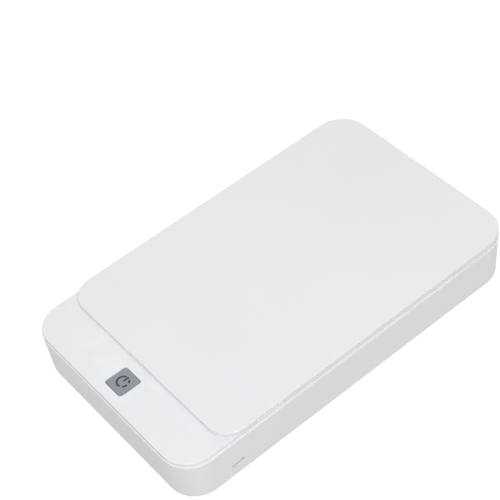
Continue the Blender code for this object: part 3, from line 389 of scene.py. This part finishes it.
def combine(piece, others, operation="DIFFERENCE"):      # exact Boolean, the others are used up
    for other in others:
        boolean = piece.modifiers.new("combine", "BOOLEAN")
        boolean.operation = operation
        boolean.solver = "EXACT"
        boolean.object = other
    settle(piece)
    for other in others:
        bpy.data.objects.remove(other)
    return piece


def smooth(piece, angle=38.0):
    piece.data.polygons.foreach_set("use_smooth", [True] * len(piece.data.polygons))
    piece.data.set_sharp_from_angle(angle=math.radians(angle))
    weighted = piece.modifiers.new("weighted", "WEIGHTED_NORMAL")
    weighted.keep_sharp = True
    weighted.weight = 80
    return settle(piece)


def soften(piece, width, limit=50.0, segments=2):      # small rounds on edges that a cut left
    bevel = piece.modifiers.new("soften", "BEVEL")
    bevel.width = width
    bevel.segments = segments
    bevel.limit_method = "ANGLE"
    bevel.angle_limit = math.radians(limit)
    return settle(piece)


def dress(piece, body, slot, finish=None, nodes=(), angle=38.0):
    smooth(piece, angle)
    piece.data.materials.clear()
    piece.data.materials.append(finishes[finish or slot])
    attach(piece, body)
    if nodes:
        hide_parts(*nodes)
    return piece


def refined(node, name, width, limit=40.0):      # merged copy of a CAD node with softened edges
    shape = bmesh.new()
    shape.from_mesh(frame["nodes"][node].data)
    bmesh.ops.remove_doubles(shape, verts=shape.verts, dist=0.002 * mm)
    bmesh.ops.dissolve_limit(shape, angle_limit=math.radians(0.6), verts=shape.verts,
                             edges=shape.edges)
    piece = linkMesh(name, shape)
    return soften(piece, width, limit) if width else piece


# Geometry Nodes: copies in a row, copies at two mirrored pairs, and a wound wire
def newTree(name, inputs):
    tree = bpy.data.node_groups.new(name, "GeometryNodeTree")
    tree.interface.new_socket("Geometry", in_out="OUTPUT", socket_type="NodeSocketGeometry")
    tree.interface.new_socket("Geometry", in_out="INPUT", socket_type="NodeSocketGeometry")
    for label, kind in inputs:
        tree.interface.new_socket(label, in_out="INPUT", socket_type="NodeSocket" + kind)
    source = tree.nodes.new("NodeGroupInput")
    return tree, source


def closeTree(tree, source, geometry):      # real geometry with its material, then the output
    solid = addNode(tree, "GeometryNodeRealizeInstances", {"Geometry": geometry})
    coated = addNode(tree, "GeometryNodeSetMaterial", {"Geometry": solid.outputs[0],
                                                       "Material": source.outputs["Material"]})
    tree.links.new(coated.outputs[0], tree.nodes.new("NodeGroupOutput").inputs[0])
    return tree


def rowTree():
    tree, source = newTree("rowOfCopies", [("Count", "Int"), ("Start", "Vector"),
                                           ("Step", "Vector"), ("Material", "Material")])
    line = addNode(tree, "GeometryNodeMeshLine", {"Count": source.outputs["Count"],
                                                  "Start Location": source.outputs["Start"],
                                                  "Offset": source.outputs["Step"]})
    copies = addNode(tree, "GeometryNodeInstanceOnPoints",
                     {"Points": line.outputs[0], "Instance": source.outputs["Geometry"]})
    return closeTree(tree, source, copies.outputs[0])


def pairsTree():
    tree, source = newTree("mirroredPairs", [("Front", "Vector"), ("Rear", "Vector"),
                                             ("Turn Left", "Float"), ("Turn Rear", "Float"),
                                             ("Material", "Material")])
    joined = tree.nodes.new("GeometryNodeJoinGeometry")
    place = addNode(tree, "GeometryNodeInputPosition").outputs[0]
    across = addNode(tree, "ShaderNodeSeparateXYZ", {0: place}).outputs["X"]
    left = math2(tree, "LESS_THAN", across, 0.0)
    turnLeft = math2(tree, "MULTIPLY", left, source.outputs["Turn Left"])
    for end in ("Front", "Rear"):
        other = addNode(tree, "ShaderNodeVectorMath", {0: source.outputs[end], 1: (-1, 1, 1)},
                        operation="MULTIPLY")
        line = addNode(tree, "GeometryNodeMeshLine",
                       {"Count": 2, "Start Location": source.outputs[end],
                        "Offset": other.outputs[0]}, mode="END_POINTS")
        turns = turnLeft
        if end == "Rear":
            turns = math2(tree, "ADD", turnLeft, source.outputs["Turn Rear"])
        turn = addNode(tree, "ShaderNodeCombineXYZ", {"Z": math2(tree, "MULTIPLY", turns, math.pi)})
        copies = addNode(tree, "GeometryNodeInstanceOnPoints",
                         {"Points": line.outputs[0], "Instance": source.outputs["Geometry"],
                          "Rotation": turn.outputs[0]})
        tree.links.new(copies.outputs[0], joined.inputs[0])
    return closeTree(tree, source, joined.outputs[0])


def coilTree():
    tree, source = newTree("woundWire", [("Turns", "Float"), ("Radius", "Float"),
                                         ("Length", "Float"), ("Wire", "Float"),
                                         ("Material", "Material")])
    spiral = addNode(tree, "GeometryNodeCurveSpiral",
                     {"Resolution": 14, "Rotations": source.outputs["Turns"],
                      "Start Radius": source.outputs["Radius"],
                      "End Radius": source.outputs["Radius"],
                      "Height": source.outputs["Length"]})
    ring = addNode(tree, "GeometryNodeCurvePrimitiveCircle",
                   {"Resolution": 6, "Radius": source.outputs["Wire"]})
    wire = addNode(tree, "GeometryNodeCurveToMesh", {"Curve": spiral.outputs[0],
                                                     "Profile Curve": ring.outputs[0],
                                                     "Fill Caps": True})
    return closeTree(tree, source, wire.outputs[0])


trees = {"row": rowTree(), "pairs": pairsTree(), "coil": coilTree()}


def grow(piece, treeName, values, finish):      # runs a tree on a piece and keeps the plain mesh
    modifier = piece.modifiers.new(treeName, "NODES")
    modifier.node_group = trees[treeName]
    for item in trees[treeName].interface.items_tree:
        if item.in_out == "INPUT" and item.name in values:
            modifier[item.identifier] = values[item.name]
        elif item.in_out == "INPUT" and item.name == "Material":
            modifier[item.identifier] = finishes[finish]
    return settle(piece)


print("shape tools ready")

# Sizes that several pieces share, from the frame
housingLow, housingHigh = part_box("lower_housing")
deckLow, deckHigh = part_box("upper_deck")
lidLow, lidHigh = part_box("lid_shell")
armLow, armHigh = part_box("hinge_arm")
trayLow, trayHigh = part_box("chamber_tray")
tubeLow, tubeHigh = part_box("uv_lamp_right")
hinge = next(j for j in frame["joints"] if j["name"] == "lid_hinge")["pos_m"]
bodyRadius = 17.0 * mm
bodyHalf = lidHigh.x      # the wall's upper edge stands as wide as the lid
gap = 0.3 * mm
over = 2.0 * mm


def roundedBox(centreX, centreY, width, height, radius, steps=6):      # outline about any point
    shape = {"half": width / 2, "front": -height / 2, "rear": height / 2,
             "frontRadius": radius, "rearRadius": radius}
    return [(centreX + x, centreY + y) for x, y in roundedOutline(shape, 0.0, steps)]


def rod(name, radius, low, high, centre, steps=32):      # upright cylinder
    return prism(name, circlePoints(centre[0], centre[1], radius, steps), low, high)


def rearRoundCutter():      # outside of a round about the hinge's axis, where the lid's edge swings
    reach = deckHigh.z - hinge[2]
    outline = (arcPoints(hinge[1], hinge[2], reach, 90, 0, 24)
               + [(hinge[1] + reach + over, hinge[2]),
                  (hinge[1] + reach + over, hinge[2] + reach + over),
                  (hinge[1], hinge[2] + reach + over)])
    return prism("rearRound", outline, housingLow.x - over, housingHigh.x + over, alongX)


def hingeNotchCutter(front, low):
    half = armHigh.x + gap
    return boxPiece("hingeNotch", (-half, front, low), (half, housingHigh.y + over,
                                                        deckHigh.z + over))


def middle(node):
    low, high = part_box(node)
    return (low + high) / 2


# Lower housing: wall, rounded rim that catches the light, floor with recesses, slot and notch
housingLook = {"wall": 2.0 * mm, "floor": 2.0 * mm, "bottomRound": 3.0 * mm, "rimRound": 0.25 * mm,
               "draft": 0.9 * mm, "rimDrop": 0.9 * mm,
               "support": 0.5 * mm, "bossRadius": 3.4 * mm, "bossHeight": 9.0 * mm,
               "recessRadius": 2.8 * mm, "recessDepth": 4.3 * mm, "footRecess": 5.3 * mm,
               "footDepth": 1.0 * mm, "slotCorner": 1.1 * mm, "soften": 0.12 * mm}


def housingPiece(look):
    low, high = housingLow.z, housingHigh.z - look["rimDrop"]
    bottom, rim, near = look["bottomRound"], look["rimRound"], look["support"]
    draft = look["draft"]      # the wall leans out from the floor to the rim
    shape = {"half": bodyHalf, "front": housingLow.y, "rear": housingHigh.y,
             "frontRadius": bodyRadius, "rearRadius": bodyRadius}
    profile = ([(draft + bottom + near, low)]
               + arcPoints(draft + bottom, low + bottom, bottom, 270, 180, 6)
               + [(draft * 0.98, low + bottom + near), (draft * 0.02, high - rim - near)]
               + arcPoints(rim, high - rim, rim, 180, 90, 6)
               + [(look["wall"], high), (look["wall"], low + look["floor"])])
    piece = loft("housingShell", shape, profile, 24)
    screwPlaces = [middle(f"housing_screw_{i}") for i in (1, 2, 3, 4)]
    footPlaces = [middle(f"foot_{side}_{end}") for side in ("left", "right")
                  for end in ("front", "rear")]
    bosses = [rod("boss", look["bossRadius"], low + look["floor"] - gap, look["bossHeight"], place)
              for place in screwPlaces]
    combine(piece, bosses, "UNION")
    cutters = [rod("recess", look["recessRadius"], low - over, low + look["recessDepth"], place)
               for place in screwPlaces]
    cutters += [rod("footSeat", look["footRecess"], low - over, low + look["footDepth"], place, 48)
                for place in footPlaces]
    port = middle("usb_socket")
    portLow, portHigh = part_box("usb_socket")
    width, height = portHigh.y - portLow.y + gap, portHigh.z - portLow.z + gap
    cutters.append(prism("portSlot", roundedBox(port.y, port.z, width, height, look["slotCorner"]),
                         housingHigh.x - 2 * look["wall"], housingHigh.x + over, alongX))
    cutters.append(hingeNotchCutter(housingHigh.y - 2 * look["wall"], armLow.z - gap))
    cutters.append(rearRoundCutter())
    combine(piece, cutters)
    soften(piece, look["soften"])
    return dress(piece, "base", "white_abs", nodes=["lower_housing"])


housingPiece(housingLook)
print("housing made")

# Deck: plate set in from the housing's rim, with the chamber, the button and the hinge cut out
deckLook = {"plate": 2.35 * mm, "depth": 2.5 * mm, "cutDepth": 5.0 * mm,
            "plugInset": 1.8 * mm, "edgeRound": 0.35 * mm, "lowerRound": 0.1 * mm,
            "sideStep": 0.9 * mm, "endStep": 0.55 * mm, "support": 0.5 * mm,
            "chamberRound": 0.8 * mm, "chamberWall": 1.2 * mm, "chamberCorner": 9.0 * mm,
            "buttonRound": 0.2 * mm, "buttonCorner": 1.2 * mm, "soften": 0.12 * mm}
chamberShape = {"half": trayHigh.x - deckLook["chamberWall"],
                "front": trayLow.y + deckLook["chamberWall"],
                "rear": trayHigh.y - deckLook["chamberWall"],
                "frontRadius": deckLook["chamberCorner"], "rearRadius": deckLook["chamberCorner"]}
capLow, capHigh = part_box("power_button")
buttonLook = {"flange": 1.0 * mm, "flangeHeight": 1.5 * mm, "edgeRound": 0.25 * mm,
              "dish": 0.06 * mm, "inkDepth": 0.2 * mm, "inkTop": 0.09 * mm,
              "symbolRadius": 3.65 * mm, "stroke": 1.0 * mm, "barStart": 0.2 * mm,
              "barEnd": 3.6 * mm, "arcs": ((108, 292), (316, 364), (386, 422)), "arcStep": 5}
buttonShape = {"half": capHigh.x - buttonLook["flange"], "front": capLow.y + buttonLook["flange"],
               "rear": capHigh.y - buttonLook["flange"],
               "frontRadius": deckLook["buttonCorner"], "rearRadius": deckLook["buttonCorner"]}


def openingCutter(name, shape, clearance, edge, depth):      # hole with a rounded upper edge
    top = deckHigh.z
    profile = ([(-clearance, top - depth), (-clearance, top - edge)]
               + [(x - clearance, z) for x, z in arcPoints(-edge, top - edge, edge, 0, 90, 5)]
               + [(-clearance - edge, top + over)])
    return loft(name, shape, profile, 18)


def deckPiece(look):
    top = deckHigh.z
    low, plug = top - look["plate"], look["plugInset"]
    edge, under = look["edgeRound"], look["lowerRound"]
    shape = {"half": bodyHalf - look["sideStep"], "front": housingLow.y + look["endStep"],
             "rear": housingHigh.y - look["endStep"], "frontRadius": bodyRadius - look["sideStep"],
             "rearRadius": bodyRadius - look["sideStep"]}
    profile = ([(plug + look["support"], top - look["depth"]), (plug, top - look["depth"]),
                (plug, low), (under, low), (0, low + under)]
               + arcPoints(edge, top - edge, edge, 180, 90, 5)
               + [(edge + look["support"], top)])
    piece = loft("deckPlate", shape, profile, 24)
    deep = look["cutDepth"]
    combine(piece, [openingCutter("chamberOpening", chamberShape, 0.0, look["chamberRound"], deep),
                    openingCutter("buttonOpening", buttonShape, gap, look["buttonRound"], deep),
                    hingeNotchCutter(armLow.y - gap, top - deep),
                    rearRoundCutter()])
    soften(piece, look["soften"])
    return dress(piece, "base", "white_abs", nodes=["upper_deck"])


deckPiece(deckLook)
print("deck made")


# Button: flanged cap with a shallow dish and an inked power symbol set into its top
def symbolPieces(look, low, high):
    centre = (buttonShape["front"] + buttonShape["rear"]) / 2
    outer, inner = look["symbolRadius"], look["symbolRadius"] - look["stroke"]
    half = look["stroke"] / 2
    bar = [(-half, centre + look["barStart"]), (half, centre + look["barStart"]),
           (half, centre + look["barEnd"]), (-half, centre + look["barEnd"])]
    pieces = [prism("symbolBar", bar, low, high)]
    for start, end in look["arcs"]:      # angles in degrees, the break at the top is the widest
        steps = (end - start) // look["arcStep"]
        pieces.append(prism("symbolArc", arcPoints(0, centre, outer, start, end, steps)
                            + arcPoints(0, centre, inner, end, start, steps), low, high))
    return pieces


def buttonPiece(look):
    top = capHigh.z
    edge, flange, dish = look["edgeRound"], look["flange"], look["dish"]
    seat = deckHigh.z - deckLook["depth"] - gap
    profile = ([(0, seat - look["flangeHeight"]), (-flange, seat - look["flangeHeight"]),
                (-flange, seat), (0, seat), (0, top - 3 * edge)]
               + arcPoints(edge, top - edge, edge, 180, 90, 5)
               + [(3 * edge, top - dish / 3), (8 * edge, top - dish)])
    piece = loft("buttonCap", buttonShape, profile, 10)
    combine(piece, symbolPieces(look, top - look["inkDepth"], top + over))
    dress(piece, "button", "button_grey", nodes=["power_button"])
    ink = symbolPieces(look, top - look["inkDepth"], top - look["inkTop"])
    combine(ink[0], ink[1:], "UNION")
    ink[0].name = "powerSymbol"
    return dress(ink[0], "button", "button_grey", "symbolInk")


buttonPiece(buttonLook)
print("button made")

# Port: plated socket with its tongue and a row of contacts
portLook = {"soften": 0.08 * mm, "contacts": 5, "pitch": 0.65 * mm, "width": 0.28 * mm,
            "length": 2.6 * mm, "height": 0.05 * mm, "setIn": 0.15 * mm, "tongueSide": 0.75 * mm,
            "tongueLow": 0.32 * mm, "tongueHigh": 1.75 * mm, "tongueLength": 4.5 * mm}


def portPieces(look):
    socket = refined("usb_socket", "portSocket", look["soften"], 60.0)
    dress(socket, "base", "steel", nodes=["usb_socket"])
    centre = middle("usb_socket")
    low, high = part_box("usb_socket")
    face = high.x - look["setIn"]
    tongue = boxPiece("portTongue", (face - look["tongueLength"], low.y + look["tongueSide"],
                                     low.z + look["tongueLow"]),
                      (face, high.y - look["tongueSide"], low.z + look["tongueHigh"]))
    soften(tongue, look["soften"])
    dress(tongue, "base", "inner_white")
    contact = boxPiece("portContacts", (-look["length"], -look["width"] / 2, 0),
                       (0, look["width"] / 2, look["height"]))
    first = centre.y - look["pitch"] * (look["contacts"] - 1) / 2
    grow(contact, "row", {"Count": look["contacts"],
                          "Start": (face - look["setIn"], first, low.z + look["tongueHigh"]),
                          "Step": (0, look["pitch"], 0)}, "goldContact")
    dress(contact, "base", "steel", "goldContact")


portPieces(portLook)
print("port made")

# Lid: thin shell with a finger notch, liner, rounded light ring and satin reflecting panel
lidLook = {"frontRadius": 13.5 * mm, "topRound": 0.4 * mm, "underRound": 0.1 * mm,
           "sideStep": 0.2 * mm, "frontStep": 0.6 * mm, "seat": 0.12 * mm,
           "rim": 1.9 * mm, "skin": 1.3 * mm, "support": 0.4 * mm, "notchFromFront": 28.6 * mm,
           "notchLength": 20.0 * mm, "notchDepth": 1.8 * mm, "notchSkin": 0.55 * mm,
           "ringWidth": 7.0 * mm, "ringCorner": 8.0 * mm, "innerCorner": 5.0 * mm,
           "panelCorner": 4.7 * mm, "panelRound": 0.15 * mm, "soften": 0.1 * mm,
           "linerSoften": 0.12 * mm, "armSoften": 0.25 * mm}


def lidShellPiece(look):
    low, high = deckHigh.z + look["seat"], lidHigh.z
    edge, rim, near = look["topRound"], look["rim"], look["support"]
    side = bodyHalf - look["sideStep"]
    shape = {"half": side, "front": lidLow.y + look["frontStep"], "rear": lidHigh.y,
             "frontRadius": look["frontRadius"], "rearRadius": bodyRadius}
    profile = ([(rim, high - look["skin"]), (rim, low), (look["underRound"], low),
                (0, low + look["underRound"]), (0, low + look["underRound"] + near / 2),
                (0, high - edge - near / 2)]
               + arcPoints(edge, high - edge, edge, 180, 90, 6)
               + [(edge + near, high)])
    piece = loft("lidShell", shape, profile, 24)
    half, depth = look["notchLength"] / 2, look["notchDepth"]
    radius = (half ** 2 + depth ** 2) / (2 * depth)
    spread = math.degrees(math.asin(half / radius))
    centre = lidLow.y + look["notchFromFront"]
    bite = (arcPoints(side - depth + radius, centre, radius, 180 - spread, 180 + spread, 16)
            + [(lidHigh.x + over, centre - half), (lidHigh.x + over, centre + half)])
    combine(piece, [prism("fingerNotch", bite, low - over, high - look["notchSkin"])])
    soften(piece, look["soften"])
    return dress(piece, "lid", "white_abs", nodes=["lid_shell"])


def lidInnerPieces(look):
    liner = refined("lid_liner", "lidLiner", look["linerSoften"])
    dress(liner, "lid", "inner_white", nodes=["lid_liner"])
    low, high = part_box("lid_ring")
    width = look["ringWidth"]
    shape = {"half": high.x, "front": low.y, "rear": high.y, "frontRadius": look["ringCorner"],
             "rearRadius": look["ringCorner"], "leastRadius": look["innerCorner"]}
    bulge = (high.z - low.z) * 0.75
    bead = [(width / 2 + width / 2 * math.cos(a), low.z + bulge + bulge * math.sin(a))
            for a in (math.pi + math.pi * i / 14 for i in range(15))]
    ring = loft("lidRing", shape, bead + [(width, high.z), (0, high.z)], 18, closed=True)
    dress(ring, "lid", "inner_white", nodes=["lid_ring"])
    low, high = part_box("mirror_panel")
    shape = {"half": high.x, "front": low.y, "rear": high.y, "frontRadius": look["panelCorner"],
             "rearRadius": look["panelCorner"]}
    edge = look["panelRound"]
    panel = loft("mirrorPanel", shape, [(4 * edge, low.z), (edge, low.z), (0, low.z + edge),
                                        (0, high.z)], 12)
    dress(panel, "lid", "satin_mirror", nodes=["mirror_panel"])
    arm = refined("hinge_arm", "hingeArm", look["armSoften"])
    dress(arm, "lid", "white_abs", nodes=["hinge_arm"])


lidShellPiece(lidLook)
lidInnerPieces(lidLook)
print("lid made")

# Chamber: tray with filleted floor and lead holes, rest ribs in a row and a saddle at each cap
trayLook = {"wall": 1.2 * mm, "floor": 1.2 * mm, "fillet": 3.0 * mm, "outerRound": 1.0 * mm,
            "support": 0.4 * mm, "leadHole": 1.2 * mm, "leadFromCap": 5.0 * mm,
            "ribs": 4, "ribHalf": 34.0 * mm, "ribWidth": 3.0 * mm, "ribHeight": 2.5 * mm,
            "ribFirst": 28.8 * mm, "ribStep": 40.8 * mm, "ribRound": 0.7 * mm,
            "saddleLength": 7.0 * mm, "saddleSide": 5.0 * mm, "saddleWallSide": 5.5 * mm,
            "groove": 4.3 * mm, "lipRound": 0.2 * mm, "ribSoften": 0.4 * mm,
            "saddleSoften": 0.2 * mm}
lampX, lampZ = (tubeLow.x + tubeHigh.x) / 2, (tubeLow.z + tubeHigh.z) / 2
lampY = (tubeLow.y + tubeHigh.y) / 2
capFront, capRear = middle("lamp_cap_right_front"), middle("lamp_cap_right_rear")


def trayPieces(look):
    low, high = trayLow.z, trayHigh.z
    floor, wall, fillet = low + look["floor"], look["wall"], look["fillet"]
    outer = look["outerRound"]
    profile = ([(2 * outer - wall, low)]
               + arcPoints(outer - wall, low + outer, outer, 270, 180, 4)
               + [(-wall, high), (-look["lipRound"], high), (0, high - look["lipRound"])]
               + [(0, floor + fillet + look["support"])]
               + arcPoints(fillet, floor + fillet, fillet, 180, 270, 8)
               + [(fillet + look["support"], floor)])
    tray = loft("chamberTray", chamberShape, profile, 18)
    reach = (capRear.y - capFront.y) / 2 + (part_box("lamp_cap_right_rear")[1].y - capRear.y)
    holes = [rod("leadHole", look["leadHole"], low - over, floor + fillet,
                 (side * lampX, lampY + end * (reach + look["leadFromCap"])))
             for side in (-1, 1) for end in (-1, 1)]
    combine(tray, holes)
    dress(tray, "base", "inner_white", nodes=["chamber_tray"])

    half, width = look["ribHalf"], look["ribWidth"] / 2
    top = floor + look["ribHeight"]
    ribs = prism("restRibs", arcPoints(width - look["ribRound"], top - look["ribRound"],
                                       look["ribRound"], 0, 90, 4)
                 + arcPoints(-width + look["ribRound"], top - look["ribRound"],
                             look["ribRound"], 90, 180, 4)
                 + [(-width, floor), (width, floor)], -half, half, alongX)
    soften(ribs, look["ribSoften"])
    grow(ribs, "row", {"Count": look["ribs"],
                       "Start": (0, chamberShape["front"] + look["ribFirst"], 0),
                       "Step": (0, look["ribStep"], 0)}, "inner_white")
    dress(ribs, "base", "inner_white")

    length = look["saddleLength"] / 2
    block = boxPiece("lampSaddles", (-look["saddleSide"], -length, floor),
                     (look["saddleWallSide"], length, lampZ - gap))
    groove = prism("groove", circlePoints(0, lampZ, look["groove"], 32), -2 * length,
                   2 * length, alongY)
    combine(block, [groove])
    soften(block, look["saddleSoften"])
    grow(block, "pairs", {"Front": (lampX, capFront.y, 0), "Rear": (lampX, capRear.y, 0),
                          "Turn Left": 1.0}, "inner_white")
    dress(block, "base", "inner_white")


trayPieces(trayLook)
print("chamber made")

# Lamps: drawn quartz tubes with wound electrodes, ceramic caps, spring clips, reflectors, leads
lampLook = {"wall": 0.6 * mm, "coilTurns": 8.0, "coilRadius": 0.34 * mm, "coilLength": 2.8 * mm,
            "coilWire": 0.09 * mm, "postRadius": 0.13 * mm, "postLength": 9.0 * mm,
            "postSpacing": 1.5 * mm, "electrodeFromEnd": 13.0 * mm, "capSoften": 0.35 * mm,
            "clipSoften": 0.06 * mm, "softenAngle": 50.0, "leadSmooth": 70.0}


def lampPieces(look):
    radius = (tubeHigh.z - tubeLow.z) / 2
    inner = radius - look["wall"]
    half = (tubeHigh.y - tubeLow.y) / 2
    for side, name in ((-1, "left"), (1, "right")):
        tube = turnedPiece(f"lampTube.{name}", [(radius, -half), (radius, half), (inner, half),
                                                (inner, -half), (radius, -half)], 40, closed=False)
        tube.data.transform(Matrix.Translation((side * lampX, lampY, lampZ)) @ alongY)
        dress(tube, "base", "quartz", nodes=[f"uv_lamp_{name}"])
        shade = refined(f"reflector_{name}", f"reflector.{name}", 0.0)
        dress(shade, "base", "aluminium", nodes=[f"reflector_{name}"])
        for end in ("front", "rear"):
            cap = refined(f"lamp_cap_{name}_{end}", f"lampCap.{name}.{end}", look["capSoften"],
                          look["softenAngle"])
            dress(cap, "base", "cap_ceramic", nodes=[f"lamp_cap_{name}_{end}"])
            clip = refined(f"lamp_clip_{name}_{end}", f"lampClip.{name}.{end}",
                           look["clipSoften"], look["softenAngle"])
            dress(clip, "base", "steel", nodes=[f"lamp_clip_{name}_{end}"])
            lead = refined(f"lamp_lead_{name}_{end}", f"lampLead.{name}.{end}", 0.0)
            dress(lead, "base", "lead_white", nodes=[f"lamp_lead_{name}_{end}"],
                  angle=look["leadSmooth"])

    coil = boxPiece("lampElectrodes", (0, 0, 0), (mm, mm, mm))
    grow(coil, "coil", {"Turns": look["coilTurns"], "Radius": look["coilRadius"],
                        "Length": look["coilLength"], "Wire": look["coilWire"]}, "steel")
    coil.data.transform(Matrix.Translation((-look["coilLength"] / 2, 0, 0))
                        @ Matrix.Rotation(math.pi / 2, 4, "Y"))
    posts = [prism("post", circlePoints(side * look["postSpacing"], 0, look["postRadius"], 8),
                   0, look["postLength"], alongY) for side in (-1, 1)]
    combine(coil, posts, "UNION")
    front = Vector((lampX, tubeLow.y + look["electrodeFromEnd"], lampZ))
    rear = Vector((lampX, tubeHigh.y - look["electrodeFromEnd"], lampZ))
    grow(coil, "pairs", {"Front": front, "Rear": rear, "Turn Rear": 1.0}, "steel")
    dress(coil, "base", "steel")


lampPieces(lampLook)
print("lamps made")

# Underside: feet with a shallow dished tread and cross recess screws, both as mirrored pairs
underLook = {"footRadius": 5.0 * mm, "footEdge": 0.4 * mm, "tread": 2.7 * mm,
             "treadDepth": 0.25 * mm, "headHeight": 1.5 * mm, "headRadius": 2.5 * mm,
             "shankRadius": 1.2 * mm, "crossWidth": 0.6 * mm, "crossLength": 2.8 * mm,
             "crossDepth": 0.9 * mm, "headFlat": 0.45, "tipTaper": 0.6,
             "bracketSoften": 0.2 * mm}


def undersidePieces(look):
    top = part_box("foot_left_front")[1].z
    radius, edge, tread = look["footRadius"], look["footEdge"], look["tread"]
    profile = ([(0, look["treadDepth"]), (tread, look["treadDepth"]), (tread + edge / 2, 0)]
               + arcPoints(radius - edge, edge, edge, 270, 360, 4) + [(radius, top), (0, top)])
    foot = turnedPiece("rubberFeet", profile, 40)
    grow(foot, "pairs", {"Front": (-middle("foot_left_front").x, middle("foot_left_front").y, 0),
                         "Rear": (-middle("foot_left_rear").x, middle("foot_left_rear").y, 0)},
         "rubber")
    dress(foot, "base", "rubber", nodes=[f"foot_{side}_{end}" for side in ("left", "right")
                                         for end in ("front", "rear")])

    screwLow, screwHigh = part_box("housing_screw_1")
    seat = screwLow.z + look["headHeight"]
    head, shank = look["headRadius"], look["shankRadius"]
    flat = look["headFlat"] * head
    profile = ([(0, screwLow.z), (flat, screwLow.z)]
               + arcPoints(flat, screwLow.z + head - flat, head - flat, 270, 360, 6)
               + [(head, seat), (shank, seat), (shank, screwHigh.z - shank),
                  (look["tipTaper"] * shank, screwHigh.z), (0, screwHigh.z)])
    screw = turnedPiece("housingScrews", profile, 32)
    half, width = look["crossLength"] / 2, look["crossWidth"] / 2
    deep = screwLow.z + look["crossDepth"]
    combine(screw, [boxPiece("cross", (-half, -width, screwLow.z - over), (half, width, deep)),
                    boxPiece("cross", (-width, -half, screwLow.z - over), (width, half, deep))])
    places = [middle(f"housing_screw_{i}") for i in (1, 2, 3, 4)]
    front, rear = min(places, key=lambda p: p.y), max(places, key=lambda p: p.y)
    grow(screw, "pairs", {"Front": (abs(front.x), front.y, 0), "Rear": (abs(rear.x), rear.y, 0)},
         "steel")
    dress(screw, "base", "steel", nodes=[f"housing_screw_{i}" for i in (1, 2, 3, 4)])


undersidePieces(underLook)
bracket = refined("hinge_bracket", "hingeBracket", underLook["bracketSoften"])
dress(bracket, "base", "white_abs", nodes=["hinge_bracket"])
print("underside and hinge made")

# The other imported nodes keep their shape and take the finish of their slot
for entry in frame["record"]["subparts"]:
    node = frame["nodes"][entry["node"]]
    node.data.materials.clear()
    node.data.materials.append(finishes[entry["material_slot"]])
print("packed nodes finished")

# Studio: pale floor, even sky, a soft box beside the camera and a weak broad sun behind
studio = {"skyLevel": 0.45, "skyTint": (0.985, 0.992, 1.0), "floorSize": 6.0,
          "floorTone": (0.52, 0.51, 0.495), "shadowShare": 0.2, "floorLift": 1.06,
          "keyPower": 19.6, "keyFrom": (0.58, -0.31, 0.755), "keyDistance": 1.8,
          "keyWidth": 1.0, "keyTint": (0.98, 0.988, 1.0),
          "fillPower": 0.5, "fillFrom": (-0.6, 0.45, 0.5), "fillSpread": 60.0}


def seenDirectly(tree):      # camera, mirror-like and refracted rays
    path = tree.nodes.new("ShaderNodeLightPath").outputs
    seen = math2(tree, "MAXIMUM", path["Is Camera Ray"], path["Is Glossy Ray"])
    return math2(tree, "MAXIMUM", seen, path["Is Transmission Ray"])


def makeSky(look):
    world = bpy.data.worlds.new("studioSky")
    bpy.context.scene.world = world
    world.use_nodes = True
    tree = world.node_tree
    light = tree.nodes["Background"]
    light.inputs["Color"].default_value = (*look["skyTint"], 1)
    light.inputs["Strength"].default_value = look["skyLevel"]
    white = addNode(tree, "ShaderNodeBackground", {"Color": (1, 1, 1, 1), "Strength": 1.0})
    both = addNode(tree, "ShaderNodeMixShader", {0: seenDirectly(tree), 1: light.outputs[0],
                                                 2: white.outputs[0]})
    tree.links.new(both.outputs[0], tree.nodes["World Output"].inputs["Surface"])


def makeFloor(look):
    half = look["floorSize"] / 2
    floor = boxPiece("studioFloor", (-half, -half, -0.02), (half, half, -0.02 * mm))
    made = bpy.data.materials.new("paleFloor")
    made.use_nodes = True
    tree = made.node_tree
    tree.nodes.remove(tree.nodes["Principled BSDF"])
    share = look["shadowShare"]
    plain = addNode(tree, "ShaderNodeBsdfDiffuse", {"Color": (*look["floorTone"], 1)})
    shadowed = addNode(tree, "ShaderNodeBsdfDiffuse", {"Color": (share, share, share, 1)})
    glow = addNode(tree, "ShaderNodeEmission", {"Color": (1, 1, 1, 1),
                                                "Strength": look["floorLift"] - share})
    lit = addNode(tree, "ShaderNodeAddShader", {0: shadowed.outputs[0], 1: glow.outputs[0]})
    both = addNode(tree, "ShaderNodeMixShader", {0: seenDirectly(tree), 1: plain.outputs[0],
                                                 2: lit.outputs[0]})
    tree.links.new(both.outputs[0], tree.nodes["Material Output"].inputs["Surface"])
    floor.data.materials.append(made)


def makeSun(name, power, source, spread):
    light = bpy.data.lights.new(name, "SUN")
    light.energy = power
    light.angle = math.radians(spread)
    lamp = bpy.data.objects.new(name, light)
    bpy.context.scene.collection.objects.link(lamp)
    lamp.rotation_euler = (-Vector(source)).to_track_quat("-Z", "Y").to_euler()


def makeKey(look):      # round soft box beside the camera
    light = bpy.data.lights.new("keyBox", "AREA")
    light.shape = "DISK"
    light.size = look["keyWidth"]
    light.energy = look["keyPower"]
    light.color = look["keyTint"]
    lamp = bpy.data.objects.new("keyBox", light)
    bpy.context.scene.collection.objects.link(lamp)
    source = Vector(look["keyFrom"]).normalized()
    lamp.location = source * look["keyDistance"]
    lamp.rotation_euler = (-source).to_track_quat("-Z", "Y").to_euler()


makeSky(studio)
makeFloor(studio)
makeKey(studio)
makeSun("fillSun", studio["fillPower"], studio["fillFrom"], studio["fillSpread"])
bpy.context.scene.view_settings.view_transform = "Standard"
print("studio ready")
